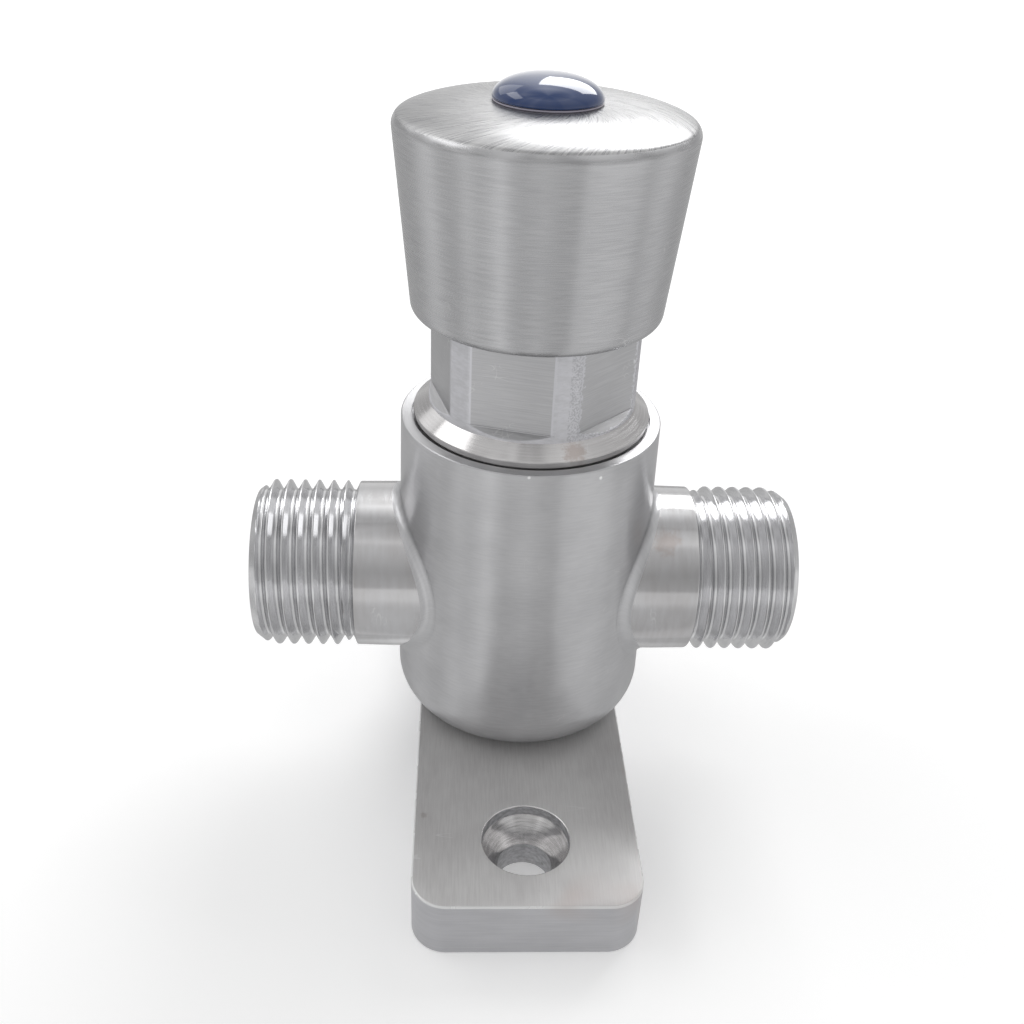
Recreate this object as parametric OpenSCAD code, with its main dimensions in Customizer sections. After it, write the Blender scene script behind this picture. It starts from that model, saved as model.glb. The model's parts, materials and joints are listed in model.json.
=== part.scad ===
/* [Base plate] */
// Width of the plate across the ports' side
plate_w = 26; // [24:0.5:30]
// Length of the plate
plate_l = 77; // [74:0.5:90]
// Thickness of the plate
plate_t = 7.7; // [7:0.1:10]
// Radius of the plate's upright corners
plate_corner_r = 4; // [2:0.5:6]
// Distance between the two fixing holes
fixing_pitch = 58; // [54:0.5:62]
// Radius of a fixing hole's plain part
fixing_r = 3; // [2.6:0.1:3.3]
// Radius of a fixing hole's countersink at its widest
fixing_head_r = 5.1; // [4.6:0.1:5.6]
// Depth of the straight lip above the countersink
fixing_lip = 0.9; // [0.5:0.1:1.4]

/* [Body] */
// Outer radius of the body above its rounded foot
body_r = 16; // [15.6:0.1:17]
// Outer radius of the body at its top rim
body_top_r = 15.35; // [15.2:0.05:15.55]
// Height of the body above the plate
body_h = 40.6; // [39:0.2:44]
// Rounding of the body's foot
body_foot_round = 4.8; // [3:0.1:5.2]
// Thickness of the body's floor
body_floor = 6; // [5.6:0.1:6.4]
// Radius of the chamber below the seat
lower_chamber_r = 8; // [7.7:0.05:8.3]
// Radius of the chamber above the seat
upper_chamber_r = 10; // [9.6:0.05:10.5]
// Height of the port axis above the plate
port_rise = 18.6; // [18.2:0.1:19.2]
// Radius of the drilling from the inlet into the lower chamber
inlet_drill_r = 3; // [2.5:0.1:3.3]
// Radius of the drilling from the upper chamber into the outlet
outlet_drill_r = 2.2; // [1.8:0.1:2.3]

/* [Ports] */
// Radius over the pipe thread's crests
thread_r = 10.478; // [10.3:0.001:10.6]
// Depth of the pipe thread
thread_depth = 1.16; // [1:0.01:1.25]
// Pitch of the pipe thread
thread_pitch = 1.8143; // [1.7:0.0001:1.95]
// Distance from the body's axis to a port's end face
port_reach = 33.3; // [32.6:0.1:37]
// Distance from the body's axis to the outer end of the collar
collar_reach = 20.8; // [20:0.1:21]
// Outer radius of the collar behind the thread, at its outer end
collar_r = 10.42; // [10.3:0.02:10.9]
// How much wider the collar is where it meets the body
collar_draft = 0.08; // [0.04:0.01:0.2]
// Radius of the port's bore
port_bore_r = 7; // [6.8:0.05:7.4]
// Radius of the narrower bore behind the strainer's seat
port_inner_r = 6.2; // [6:0.05:6.4]
// Depth of the port's wider bore from its end face
port_bore_depth = 11.3; // [10:0.1:12]
// Radius of the seat for the strainer's flange, between the two bores
strainer_seat_r = 6.6; // [6.5:0.05:6.7]
// Thickness of the strainer's flange
strainer_flange_t = 1; // [0.8:0.1:1.2]
// Radius of the spigot that plugs into the body
spigot_r = 8.6; // [8.2:0.05:8.8]
// Distance from the body's axis to the spigot's inner end
spigot_reach = 12.2; // [11.8:0.1:13]
// Width of the dressed weld where a collar meets the body
weld_w = 1.2; // [0.8:0.1:1.6]

/* [Seat and disc] */
// Radius of the seat's water way
seat_way_r = 4.5; // [4.2:0.1:4.8]
// Outer radius of the seat ring
seat_ring_r = 9; // [8.8:0.05:9.2]
// Thickness of the seat ring
seat_ring_t = 3; // [2.6:0.1:3.4]
// Height of the chamber between the floor and the seat ring
lower_chamber_h = 14.3; // [14:0.1:15]
// Height of the seat's lip below its ring
seat_lip_h = 0.5; // [0.3:0.1:0.8]
// Thickness of the rubber disc
disc_t = 2.2; // [1.8:0.1:2.5]
// Radius of the rubber disc
disc_r = 6.3; // [6:0.1:6.6]
// Wall of the metal cup round the disc
cup_wall = 0.8; // [0.6:0.1:0.9]
// Thickness of the cup's base
cup_base_t = 1.4; // [1:0.1:1.6]
// Height of the nut below the cup
disc_nut_t = 2; // [1.6:0.1:2.2]
// Width across the flats of the nut below the cup
disc_nut_flats = 7; // [6.5:0.1:8]

/* [Bonnet] */
// Radius of the bonnet's flange
flange_r = 13.86; // [13.6:0.02:14]
// Height of the flange's edge above the body's rim
flange_rise = 0.8; // [0.6:0.1:1.2]
// Depth of the flange's seat in the body's rim
flange_seat = 0.6; // [0.4:0.1:0.8]
// Gap all round the flange in its seat
flange_gap = 0.24; // [0.15:0.01:0.3]
// Height of the cone above the flange's edge
cone_h = 1.35; // [1:0.05:1.8]
// Radius of the round bar that the hexagon is milled from
hex_bar_r = 12.1; // [11.9:0.05:12.3]
// Width of the hexagon across its flats
hex_flats = 22.14; // [21.6:0.02:22.6]
// Turn of one of the hexagon's corners from the front
hex_turn = 14.6; // [0:0.2:59]
// Height of the flats' feet above the cone
flat_foot = 0.82; // [0.7:0.02:1.2]
// Slope of the flats' feet
flat_foot_slope = 0.7; // [0.5:0.02:0.7]
// Height of the hexagon's top above the body's rim
hex_top = 16.7; // [15:0.1:17.5]
// Radius of the neck above the hexagon
neck_r = 9.5; // [9.3:0.1:10]
// Height of the neck
neck_h = 4.3; // [4:0.1:5]
// Radius of the bonnet's thread in the body
bonnet_thread_r = 12; // [11.8:0.05:12.2]
// Length of the bonnet below its flange
bonnet_tail = 9.4; // [8.6:0.1:9.8]
// Inner radius of the bonnet
bonnet_bore_r = 9; // [8.9:0.05:9.2]

/* [Timing parts] */
// Inner radius of the timing sleeve
sleeve_bore_r = 7.5; // [7.3:0.05:7.7]
// Height of the perforated spring seat
spring_seat_t = 1.5; // [1.2:0.1:1.8]
// Height of the snap ring below the spring seat
snap_ring_t = 0.8; // [0.6:0.1:1]
// Radius of the spindle
spindle_r = 3; // [2.8:0.05:3.1]
// Radius of the spindle's threaded foot
spindle_foot_r = 2.2; // [2:0.05:2.3]
// Outer radius of the gland bush
gland_r = 5.5; // [5.3:0.05:5.7]
// Height of the piston's flange
piston_flange_t = 2; // [1.6:0.1:2.4]
// Height of the piston's hub above its flange
piston_hub_h = 2.5; // [2.2:0.1:2.8]
// Radius of the piston's hub
piston_hub_r = 5; // [4.8:0.1:5.2]
// Thickness of the piston's clip
piston_clip_t = 0.8; // [0.6:0.1:0.9]
// Thickness of the thrust washer under the piston
thrust_washer_t = 0.7; // [0.5:0.1:1]
// Height of the space between the piston's clip and the bonnet's roof
piston_head_room = 0.7; // [0.5:0.1:1]
// Radius of the spring's wire
wire_r = 0.55; // [0.45:0.01:0.6]
// Radius of the spring's middle line
spring_r = 5.2; // [4.8:0.05:5.6]
// Number of turns in the spring
spring_turns = 5; // [4:0.5:6]

/* [Push cap] */
// How far the cap is pushed
push_travel = 7; // [6:0.1:7.1]
// Height of the cap's crown above the skirt's lower edge
cap_h = 22.4; // [21.5:0.1:24]
// Height of the skirt's lower edge above the body's rim at rest
cap_gap = 12.9; // [12:0.1:14]
// Outer radius of the skirt's lower edge
cap_foot_r = 14.1; // [13.9:0.1:14.6]
// Rounding of the skirt's lower edge
cap_foot_round = 1.1; // [0.6:0.1:1.1]
// Radius at the cap's rim, before rounding
cap_rim_r = 16.2; // [15.8:0.1:17]
// Rounding of the cap's rim
cap_rim_round = 3.4; // [2:0.1:3.8]
// Height of the crown above the rim's corner
crown_h = 0.8; // [0.5:0.1:1.2]
// Inner radius of the skirt
skirt_bore_r = 12.75; // [12.6:0.05:12.8]
// Thickness of the cap's roof at the skirt
roof_t = 4.4; // [4.2:0.1:4.8]
// Radius of the boss under the roof
boss_r = 9; // [8.6:0.1:9.4]
// Thickness of the web between the spindle and the screw's recess
web_t = 1.2; // [1:0.1:1.4]
// Radius of the recess for the index
recess_r = 5.25; // [5.1:0.05:5.4]
// Depth of the recess for the index
recess_depth = 3; // [2.9:0.1:3.2]
// Radius of the index dome
dome_r = 5.8; // [5.6:0.1:6.2]
// Height of the index dome above the crown
dome_h = 2.7; // [2.2:0.1:3]

/* [Fasteners and seals] */
// Radius of the screws that hold the body to the plate
base_screw_r = 2; // [1.8:0.05:2.1]
// Head radius of those screws
base_screw_head_r = 3.8; // [3.4:0.1:4]
// Distance of those screws from the body's axis
base_screw_reach = 7.6; // [7.2:0.1:8]
// Depth of those screws in the body's floor
base_screw_grip = 4.4; // [4:0.1:4.8]
// Width across the flats of the sockets in the screws' heads
socket_flats = 2.5; // [2:0.1:2.6]
// Radius of the cap's screw
cap_screw_r = 1.5; // [1.3:0.05:1.6]
// Head radius of the cap's screw
cap_screw_head_r = 3.6; // [3.2:0.1:3.8]
// Head height of the cap's screw
cap_screw_head_h = 1.7; // [1.4:0.1:1.8]
// Length of the cap's screw in the spindle
cap_screw_grip = 9; // [7:0.5:11]
// Thickness of the washer under the cap's screw
cap_washer_t = 0.6; // [0.4:0.1:0.7]
// Section radius of the bonnet's seal
bonnet_seal_r = 0.8; // [0.6:0.02:0.85]
// Section radius of the seat ring's seal
seat_seal_r = 0.6; // [0.5:0.02:0.65]
// Section radius of the seals in the gland
gland_seal_r = 0.6; // [0.5:0.02:0.65]
// Thickness of the soft stop on the neck
stop_t = 0.7; // [0.6:0.1:0.9]

/* [Fits] */
// Radial gap between fixed pieces that plug together
fixed_gap = 0.03; // [0.02:0.01:0.05]
// Radial gap between pieces that slide or turn
running_gap = 0.05; // [0.04:0.01:0.08]
// Small gap where faces come together as the cap moves
touch_gap = 0.05; // [0.02:0.01:0.1]

/* [Hidden] */
$fn = 48;

// Heights above the mounting face, from the plate up
floor_z = plate_t + body_floor;
port_z = plate_t + port_rise;
seat_z = floor_z + lower_chamber_h;
seat_top_z = seat_z + seat_ring_t;
rim_z = plate_t + body_h;
flange_z = rim_z - flange_seat;
tail_z = flange_z - bonnet_tail;
cone_z = rim_z + flange_rise;
cone_top_z = cone_z + cone_h;
hex_top_z = rim_z + hex_top;
neck_top_z = hex_top_z + neck_h;
stop_z = neck_top_z + stop_t;
cap_z = rim_z + cap_gap;
crown_z = cap_z + cap_h;
recess_z = crown_z - recess_depth;
boss_z = stop_z + push_travel + touch_gap;
spindle_top_z = recess_z - web_t;
roof_z = crown_z - crown_h - roof_t;

// Heights of the disc group, hung from the seat's lip
lip_z = seat_z - seat_lip_h;
disc_top_z = lip_z - touch_gap;
disc_z = disc_top_z - disc_t;
cup_z = disc_z - cup_base_t;
nut_z = cup_z - disc_nut_t;
foot_stub = 0.5;
spindle_z = nut_z - foot_stub;

// Heights of the timing group, hung from the bonnet's roof
chamber_roof_t = 4;
chamber_roof_z = hex_top_z - chamber_roof_t;
clip_top_z = chamber_roof_z - piston_head_room;
clip_z = clip_top_z - piston_clip_t;
hub_top_z = clip_z - 0.1;
flange_top_z = hub_top_z - piston_hub_h;
piston_z = flange_top_z - piston_flange_t;
washer_z = piston_z - thrust_washer_t;
snap_ring_z = tail_z + 0.4;
spring_seat_z = snap_ring_z + snap_ring_t;
spring_z = spring_seat_z + spring_seat_t;

// Helpers for profiles with rounded corners
function unit(v) = v / norm(v);
function corner_centre(a, b, c, r) = let (
    u = unit(a - b),
    v = unit(c - b)
) b + unit(u + v) * r / sin(acos(u * v) / 2);
function corner_cut(a, b, c, r) = let (
    u = unit(a - b),
    v = unit(c - b),
    reach = r / tan(acos(u * v) / 2)
) [b + u * reach, b + v * reach];

module corner_round(a, b, c, r) {
    translate(corner_centre(a, b, c, r))
        circle(r = r);
}

module ring(r_out, r_in, z, h) {
    translate([0, 0, z])
        rotate_extrude()
            translate([r_in, 0])
                square([r_out - r_in, h]);
}

module o_ring(r_mid, r_section, z) {
    translate([0, 0, z])
        rotate_extrude()
            translate([r_mid, 0])
                circle(r = r_section, $fn = 24);
}

module rod(r, z, h) {
    translate([0, 0, z])
        cylinder(r = r, h = h);
}

// A hexagonal bar or socket, by its width across the flats
module hex_rod(flats, z, h) {
    translate([0, 0, z])
        cylinder(r = flats / sqrt(3), h = h, $fn = 6);
}

// A bar that cuts the opening in a snap ring or a circlip
opening_reach = 4;

module ring_opening(x, width, z) {
    translate([x, 0, z])
        cube([opening_reach, width, opening_reach], center = true);
}

// A countersunk recess that opens downwards, from its mouth at z
module sink_below(r_mouth, r_hole, z) {
    translate([0, 0, z])
        cylinder(r1 = r_mouth, r2 = r_hole, h = r_mouth - r_hole);
}

// Base plate, with two countersunk fixing holes and two holes for the body's screws
base_screw_clear_r = base_screw_r + 0.2;
base_head_z = 0.2;
socket_depth = 1.4;

module plate_outline() {
    cw = plate_w / 2 - plate_corner_r;
    cl = plate_l / 2 - plate_corner_r;
    square([plate_w, 2 * cl], center = true);
    square([2 * cw, plate_l], center = true);
    for (x = [-cw, cw], y = [-cl, cl])
        translate([x, y])
            circle(r = plate_corner_r);
}

module base_plate() {
    color("silver")
    difference() {
        linear_extrude(plate_t)
            plate_outline();
        for (side = [-1, 1]) {
            translate([0, side * fixing_pitch / 2, 0]) {
                rod(fixing_r, -1, plate_t + 2);
                rod(fixing_head_r, plate_t - fixing_lip, fixing_lip + 1);
                translate([0, 0, plate_t - fixing_lip - (fixing_head_r - fixing_r)])
                    cylinder(r1 = fixing_r, r2 = fixing_head_r, h = fixing_head_r - fixing_r);
            }
            translate([0, side * base_screw_reach, 0]) {
                rod(base_screw_clear_r, -1, plate_t + 2);
                rod(base_screw_head_r + fixed_gap, -1, 1 + base_head_z);
                sink_below(base_screw_head_r + fixed_gap, base_screw_clear_r, base_head_z);
            }
        }
    }
}

module base_screws() {
    color("dimgray")
    for (side = [-1, 1])
        translate([0, side * base_screw_reach, 0])
            difference() {
                union() {
                    sink_below(base_screw_head_r, base_screw_r, base_head_z);
                    rod(base_screw_r, base_head_z + 1, plate_t + base_screw_grip - base_head_z - 1);
                }
                hex_rod(socket_flats, base_head_z - 1, 1 + socket_depth);
            }
}

// The body's outer form, a turned barrel with a rounded foot
body_edge = 0.2;
screw_tip_room = 0.3;

module body_form() {
    bottom = [0, plate_t];
    foot = [body_r, plate_t];
    rim = [body_top_r, rim_z];
    top = [0, rim_z];
    rotate_extrude() {
        polygon(concat(
            [bottom],
            corner_cut(bottom, foot, rim, body_foot_round),
            corner_cut(foot, rim, top, body_edge),
            [top]));
        corner_round(bottom, foot, rim, body_foot_round);
        corner_round(foot, rim, top, body_edge);
    }
}

module body_screw_holes() {
    for (side = [-1, 1])
        translate([0, side * base_screw_reach, 0])
            rod(base_screw_r + fixed_gap, plate_t - 1, 1 + base_screw_grip + screw_tip_room);
}

// Port direction: 1 for the inlet on +X, -1 for the outlet on -X
module along_port(side) {
    translate([0, 0, port_z])
        rotate([0, side * 90, 0])
            children();
}

module valve_body() {
    inlet_drill_z = (seat_z + port_z - spigot_r) / 2;
    outlet_drill_z = port_z + spigot_r / 2 - 0.6;
    outlet_drill_l = 8;
    color("silver")
    difference() {
        body_form();
        rod(lower_chamber_r, floor_z, lower_chamber_h + 0.5);
        rod(seat_ring_r + fixed_gap, seat_z, seat_ring_t + 0.1);
        rod(upper_chamber_r, seat_top_z, rim_z - seat_top_z + 1);
        rod(bonnet_thread_r + fixed_gap, tail_z, rim_z - tail_z + 1);
        rod(flange_r + flange_gap, flange_z, flange_seat + 1);
        for (side = [-1, 1])
            along_port(side)
                translate([0, 0, spigot_reach])
                    cylinder(r = spigot_r + fixed_gap, h = body_r);
        translate([0, 0, inlet_drill_z])
            rotate([0, 90, 0])
                cylinder(r = inlet_drill_r, h = spigot_reach + 0.5);
        translate([-spigot_reach - 1, 0, outlet_drill_z])
            rotate([0, 45, 0])
                cylinder(r = outlet_drill_r, h = outlet_drill_l);
        body_screw_holes();
    }
}

// A threaded nipple: spigot, collar, relief groove and thread crests
root_r = thread_r - thread_depth;
collar_edge = 0.2;
relief_w = 0.55;
thread_start = collar_reach + relief_w;
crest_flat = 0.16;
root_flat = 0.28;
first_crest = 0.6;

function crest_at(i) = thread_start + (i + first_crest) * thread_pitch;

strainer_z = port_reach - port_bore_depth - strainer_flange_t;

module nipple(side) {
    end_r = root_r + 0.05;
    last = port_reach - 0.5;
    flank = (thread_pitch - root_flat) / 2;
    crest_count = floor((last - 0.3 - thread_start - flank) / thread_pitch - first_crest) + 1;
    crests = [for (i = [0:crest_count - 1]) each [
        [root_r, crest_at(i) - flank],
        [thread_r, crest_at(i) - crest_flat / 2],
        [thread_r, crest_at(i) + crest_flat / 2],
        [root_r, crest_at(i) + flank]]];
    difference() {
        union() {
            difference() {
                along_port(side)
                    rotate_extrude()
                        polygon(concat(
                            [[0, spigot_reach], [collar_r + collar_draft, spigot_reach],
                                [collar_r, collar_reach - collar_edge], [collar_r - collar_edge, collar_reach],
                                [root_r - 0.1, thread_start]],
                            crests,
                            [[root_r, last - 0.3], [end_r + 0.3, last], [end_r, port_reach], [0, port_reach]]));
                body_form();
            }
            along_port(side)
                translate([0, 0, spigot_reach])
                    cylinder(r = spigot_r, h = collar_reach - spigot_reach - 1);
        }
        along_port(side) {
            translate([0, 0, spigot_reach - 1])
                cylinder(r = port_inner_r, h = port_reach);
            translate([0, 0, strainer_z])
                cylinder(r = strainer_seat_r, h = port_bore_depth);
            translate([0, 0, port_reach - port_bore_depth])
                cylinder(r = port_bore_r, h = port_reach);
        }
    }
}

module inlet_nipple() {
    color("lightgray")
        nipple(1);
}

module outlet_nipple() {
    color("lightgray")
        nipple(-1);
}

// A dressed weld: a hollow fillet that follows the saddle where a collar meets the body.
// Each ring of points has the corner, the toe on the collar, the fillet and the toe on the body.
weld_steps = 40;
weld_skin = 0.04;

function body_r_at(z) = body_r + (body_top_r - body_r) * (z - plate_t) / body_h;
function saddle_x(r, a) = let (y = r * sin(a), br = body_r_at(port_z + r * cos(a)))
    sqrt(br * br - y * y);
function weld_point(r, x, a) = [x, r * sin(a), port_z + r * cos(a)];
function weld_ring(a) = let (
    r0 = (collar_r + collar_draft + weld_skin) / cos(180 / weld_steps),
    r1 = r0 + weld_w,
    x0 = saddle_x(r0, a) + weld_skin,
    x1 = saddle_x(r1, a) + weld_skin
) [
    weld_point(r0, x0, a),
    weld_point(r0, x0 + weld_w, a),
    weld_point(r0 + 0.12 * weld_w, x0 + 0.5 * weld_w, a),
    weld_point(r0 + 0.36 * weld_w, (x0 * 2 + x1) / 3 + 0.2 * weld_w, a),
    weld_point(r1, x1, a)];

module weld() {
    n = 5;
    points = [for (i = [0:weld_steps - 1]) each weld_ring(i * 360 / weld_steps)];
    faces = [for (i = [0:weld_steps - 1], k = [0:n - 1]) each let (
        j = (i + 1) % weld_steps,
        m = (k + 1) % n
    ) [
        [i * n + k, j * n + k, j * n + m],
        [i * n + k, j * n + m, i * n + m]]];
    polyhedron(points, faces);
}

module port_welds() {
    color("gainsboro") {
        weld();
        mirror([1, 0, 0])
            weld();
    }
}

// A small perforated cup in the inlet, its flange in the seat between the two bores
module inlet_strainer() {
    cup_gap = 2.3;
    cup_r = port_inner_r - 0.6;
    cup_l = strainer_z - spigot_reach - cup_gap;
    wall = 0.5;
    rows = 3;
    row_pitch = (cup_l - wall) / (rows + 1 / 3);
    side_hole_r = row_pitch / 3;
    end_hole_r = 0.7;
    color("gray")
    along_port(1)
        difference() {
            union() {
                ring(strainer_seat_r - fixed_gap, cup_r - wall, strainer_z, strainer_flange_t);
                ring(cup_r, cup_r - wall, strainer_z - cup_l, cup_l + strainer_flange_t / 2);
                rod(cup_r, strainer_z - cup_l, wall);
            }
            for (row = [1:rows], a = [0:45:315])
                rotate([0, 0, a])
                    translate([0, 0, strainer_z + (1 / 3 - row) * row_pitch])
                        rotate([0, 90, 0])
                            cylinder(r = side_hole_r, h = cup_r + 1);
            for (a = [0:60:300])
                rotate([0, 0, a])
                    translate([cup_r * 0.55, 0, 0])
                        rod(end_hole_r, strainer_z - cup_l - 1, 2);
        }
}

// Seat ring with a raised lip below it and a seal groove round it
seat_groove_r = seat_ring_r - 2 * seat_seal_r;
seat_groove_z = seat_z + seat_ring_t / 2;

module seat_ring() {
    color("goldenrod")
    difference() {
        union() {
            rod(seat_ring_r, seat_z, seat_ring_t);
            rod(seat_way_r + 1, lip_z, seat_lip_h + 0.1);
        }
        rod(seat_way_r, lip_z - 1, seat_ring_t + seat_lip_h + 2);
        ring(seat_ring_r + 1, seat_groove_r, seat_groove_z - seat_seal_r, 2 * seat_seal_r);
    }
}

module seat_o_ring() {
    color("black")
        o_ring(seat_ring_r + fixed_gap - seat_seal_r, seat_seal_r - 0.01, seat_groove_z);
}

// Bonnet: threaded tail, flange, cone, hexagon milled from round bar, and neck
bonnet_groove_r = bonnet_thread_r - 2 * bonnet_seal_r;
bonnet_groove_z = flange_z - 1.2 * bonnet_seal_r;
neck_bore_r = gland_r + fixed_gap;
gland_flange_r = gland_r + 1.5;
gland_flange_t = 1.5;
tail_thread_depth = 0.5;
tail_thread_pitch = 1.5;
tail_groove_w = 0.6;
tail_thread_start = 0.9;
tail_plain = 3.2;
snap_groove_depth = 0.5;

// Cuts that mill the bar's six flats, each with a foot that slopes out over the cone
module flat_cuts() {
    flat = hex_flats / 2;
    foot_z = cone_top_z + flat_foot;
    reach = flange_r + 1;
    rotate([0, 0, hex_turn])
        for (a = [0:60:300])
            rotate([0, 0, a])
                rotate([90, 0, 0])
                    linear_extrude(2 * hex_bar_r, center = true)
                        polygon([
                            [flat, foot_z],
                            [reach, foot_z - (reach - flat) * flat_foot_slope],
                            [reach, hex_top_z + 1],
                            [flat, hex_top_z + 1]]);
}

module bonnet() {
    thread_steps = floor((bonnet_tail - tail_plain) / tail_thread_pitch);
    color("silver")
    difference() {
        rotate_extrude()
            polygon([[0, tail_z], [bonnet_thread_r, tail_z], [bonnet_thread_r, flange_z],
                [flange_r, flange_z], [flange_r, cone_z], [hex_bar_r, cone_top_z],
                [hex_bar_r, hex_top_z], [neck_r, hex_top_z], [neck_r, neck_top_z], [0, neck_top_z]]);
        flat_cuts();
        rod(bonnet_bore_r, tail_z - 1, chamber_roof_z - tail_z + 1);
        rod(gland_flange_r + fixed_gap, chamber_roof_z - 0.5, gland_flange_t + 0.5);
        rod(neck_bore_r, chamber_roof_z, neck_top_z - chamber_roof_z + 1);
        ring(bonnet_thread_r + 1, bonnet_groove_r, bonnet_groove_z - bonnet_seal_r, 2 * bonnet_seal_r);
        for (i = [0:thread_steps - 1])
            ring(bonnet_thread_r + 1, bonnet_thread_r - tail_thread_depth,
                tail_z + tail_thread_start + i * tail_thread_pitch, tail_groove_w);
        ring(bonnet_bore_r + snap_groove_depth, bonnet_bore_r - 0.2, snap_ring_z, snap_ring_t);
    }
}

module bonnet_o_ring() {
    color("black")
        o_ring(bonnet_thread_r + fixed_gap - bonnet_seal_r, bonnet_seal_r - 0.01, bonnet_groove_z);
}

// Timing sleeve inside the bonnet, with its seal
sleeve_r = bonnet_bore_r - fixed_gap;
sleeve_seal_r = 0.4;
sleeve_groove_z = spring_z + 2.5;

module timing_sleeve() {
    color("khaki")
    difference() {
        ring(sleeve_r, sleeve_bore_r, spring_z, chamber_roof_z - spring_z);
        ring(sleeve_r + 1, sleeve_r - 2 * sleeve_seal_r, sleeve_groove_z - sleeve_seal_r, 2 * sleeve_seal_r);
    }
}

module sleeve_o_ring() {
    color("black")
        o_ring(sleeve_r + fixed_gap - sleeve_seal_r, sleeve_seal_r - 0.01, sleeve_groove_z);
}

module spring_seat() {
    hole_r = 0.9;
    hole_mid_r = (spindle_r + bonnet_bore_r) / 2 + hole_r;
    spindle_room = 0.4;
    color("gray")
    difference() {
        ring(bonnet_bore_r - fixed_gap, spindle_r + spindle_room, spring_seat_z, spring_seat_t);
        for (a = [0:60:300])
            rotate([0, 0, a])
                translate([hole_mid_r, 0, 0])
                    rod(hole_r, spring_seat_z - 1, spring_seat_t + 2);
    }
}

module snap_ring() {
    ring_w = 1.1;
    color("dimgray")
    difference() {
        ring(bonnet_bore_r + snap_groove_depth - touch_gap, bonnet_bore_r - ring_w, snap_ring_z,
            snap_ring_t - touch_gap);
        ring_opening(bonnet_bore_r, 3, snap_ring_z);
    }
}

// Return spring: one unbroken tube along a helix between the seat and the thrust washer
spring_sides = 6;
spring_per_turn = 16;

function helix_centre(t) = [spring_r * cos(360 * t), spring_r * sin(360 * t), 0];
function helix_z(t) = let (
    low = spring_z + wire_r,
    high = washer_z - wire_r
) low + (high - low) * t / spring_turns;
function helix_ring(t) = [for (k = [0:spring_sides - 1]) let (a = 360 * k / spring_sides)
    [(spring_r + wire_r * cos(a)) * cos(360 * t), (spring_r + wire_r * cos(a)) * sin(360 * t),
        helix_z(t) + wire_r * sin(a)]];

module return_spring() {
    steps = round(spring_turns * spring_per_turn);
    n = spring_sides;
    points = [for (i = [0:steps]) each helix_ring(i / spring_per_turn)];
    sides = [for (i = [0:steps - 1], k = [0:n - 1]) each let (m = (k + 1) % n) [
        [i * n + k, i * n + m, (i + 1) * n + m],
        [i * n + k, (i + 1) * n + m, (i + 1) * n + k]]];
    caps = [for (k = [1:n - 2]) each [
        [0, k + 1, k],
        [steps * n, steps * n + k, steps * n + k + 1]]];
    color("lightslategray")
        polyhedron(points, concat(sides, caps));
}

// Gland bush that guides the spindle, with two seals inside and one outside
gland_top_z = stop_z - 0.1;
gland_clip_t = stop_t - 0.2;
seal_step = 2.6;
stem_seal_zs = [chamber_roof_z + seal_step, chamber_roof_z + 2 * seal_step];
gland_groove_z = chamber_roof_z + 1.5 * seal_step;
gland_outer_seal_r = 0.4;
gland_clip_depth = 0.5;
clip_opening = 2.4;

module gland_bush() {
    color("burlywood")
    difference() {
        union() {
            rod(gland_flange_r, chamber_roof_z, gland_flange_t);
            rod(gland_r, chamber_roof_z, gland_top_z - chamber_roof_z);
        }
        rod(spindle_r + running_gap, chamber_roof_z - 1, gland_top_z - chamber_roof_z + 2);
        for (z = stem_seal_zs)
            ring(spindle_r + 2.1 * gland_seal_r, spindle_r - 0.5, z - gland_seal_r, 2 * gland_seal_r);
        ring(gland_r + 1, gland_r - 2 * gland_outer_seal_r, gland_groove_z - gland_outer_seal_r,
            2 * gland_outer_seal_r);
        ring(gland_r + 1, gland_r - gland_clip_depth, neck_top_z, gland_clip_t);
    }
}

module gland_o_ring() {
    color("black")
        o_ring(gland_r + fixed_gap - gland_outer_seal_r, gland_outer_seal_r - 0.01, gland_groove_z);
}

module stem_o_rings() {
    color("black")
    for (z = stem_seal_zs)
        o_ring(spindle_r + running_gap + gland_seal_r - 0.01, gland_seal_r - 0.03, z);
}

module gland_circlip() {
    color("dimgray")
    difference() {
        ring(gland_r + 1, gland_r - gland_clip_depth + touch_gap, neck_top_z, gland_clip_t - touch_gap);
        ring_opening(gland_r + 1, clip_opening, neck_top_z);
    }
}

module stop_washer() {
    color("darkslategray")
        ring(neck_r - 0.3, gland_r + 1.3, neck_top_z, stop_t);
}

module thrust_washer() {
    color("gainsboro")
        ring(spring_r + wire_r + 0.6, spindle_r + running_gap, washer_z, thrust_washer_t);
}

// Spindle: threaded foot, body with a clip groove, and a drilled top for the cap's screw
clip_groove_depth = 0.5;

module spindle() {
    color("lightgray")
    difference() {
        union() {
            rod(spindle_foot_r, spindle_z, disc_top_z - spindle_z + 0.5);
            rod(spindle_r, disc_top_z, spindle_top_z - disc_top_z);
        }
        ring(spindle_r + 1, spindle_r - clip_groove_depth, clip_z, piston_clip_t);
        rod(cap_screw_r + fixed_gap, spindle_top_z - cap_screw_grip - screw_tip_room,
            cap_screw_grip + screw_tip_room + 1);
    }
}

// Piston with a hub for its lip seal and a bleed hole, at the clip's opening, with a loose pin in it
bleed_x = -4;
bleed_r = 0.6;

module piston() {
    color("burlywood")
    difference() {
        union() {
            rod(sleeve_bore_r - 0.2, piston_z, piston_flange_t);
            rod(piston_hub_r, piston_z, hub_top_z - piston_z);
        }
        rod(spindle_r + fixed_gap, piston_z - 1, hub_top_z - piston_z + 2);
        translate([bleed_x, 0, 0])
            rod(bleed_r, piston_z - 1, hub_top_z - piston_z + 2);
    }
}

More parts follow.
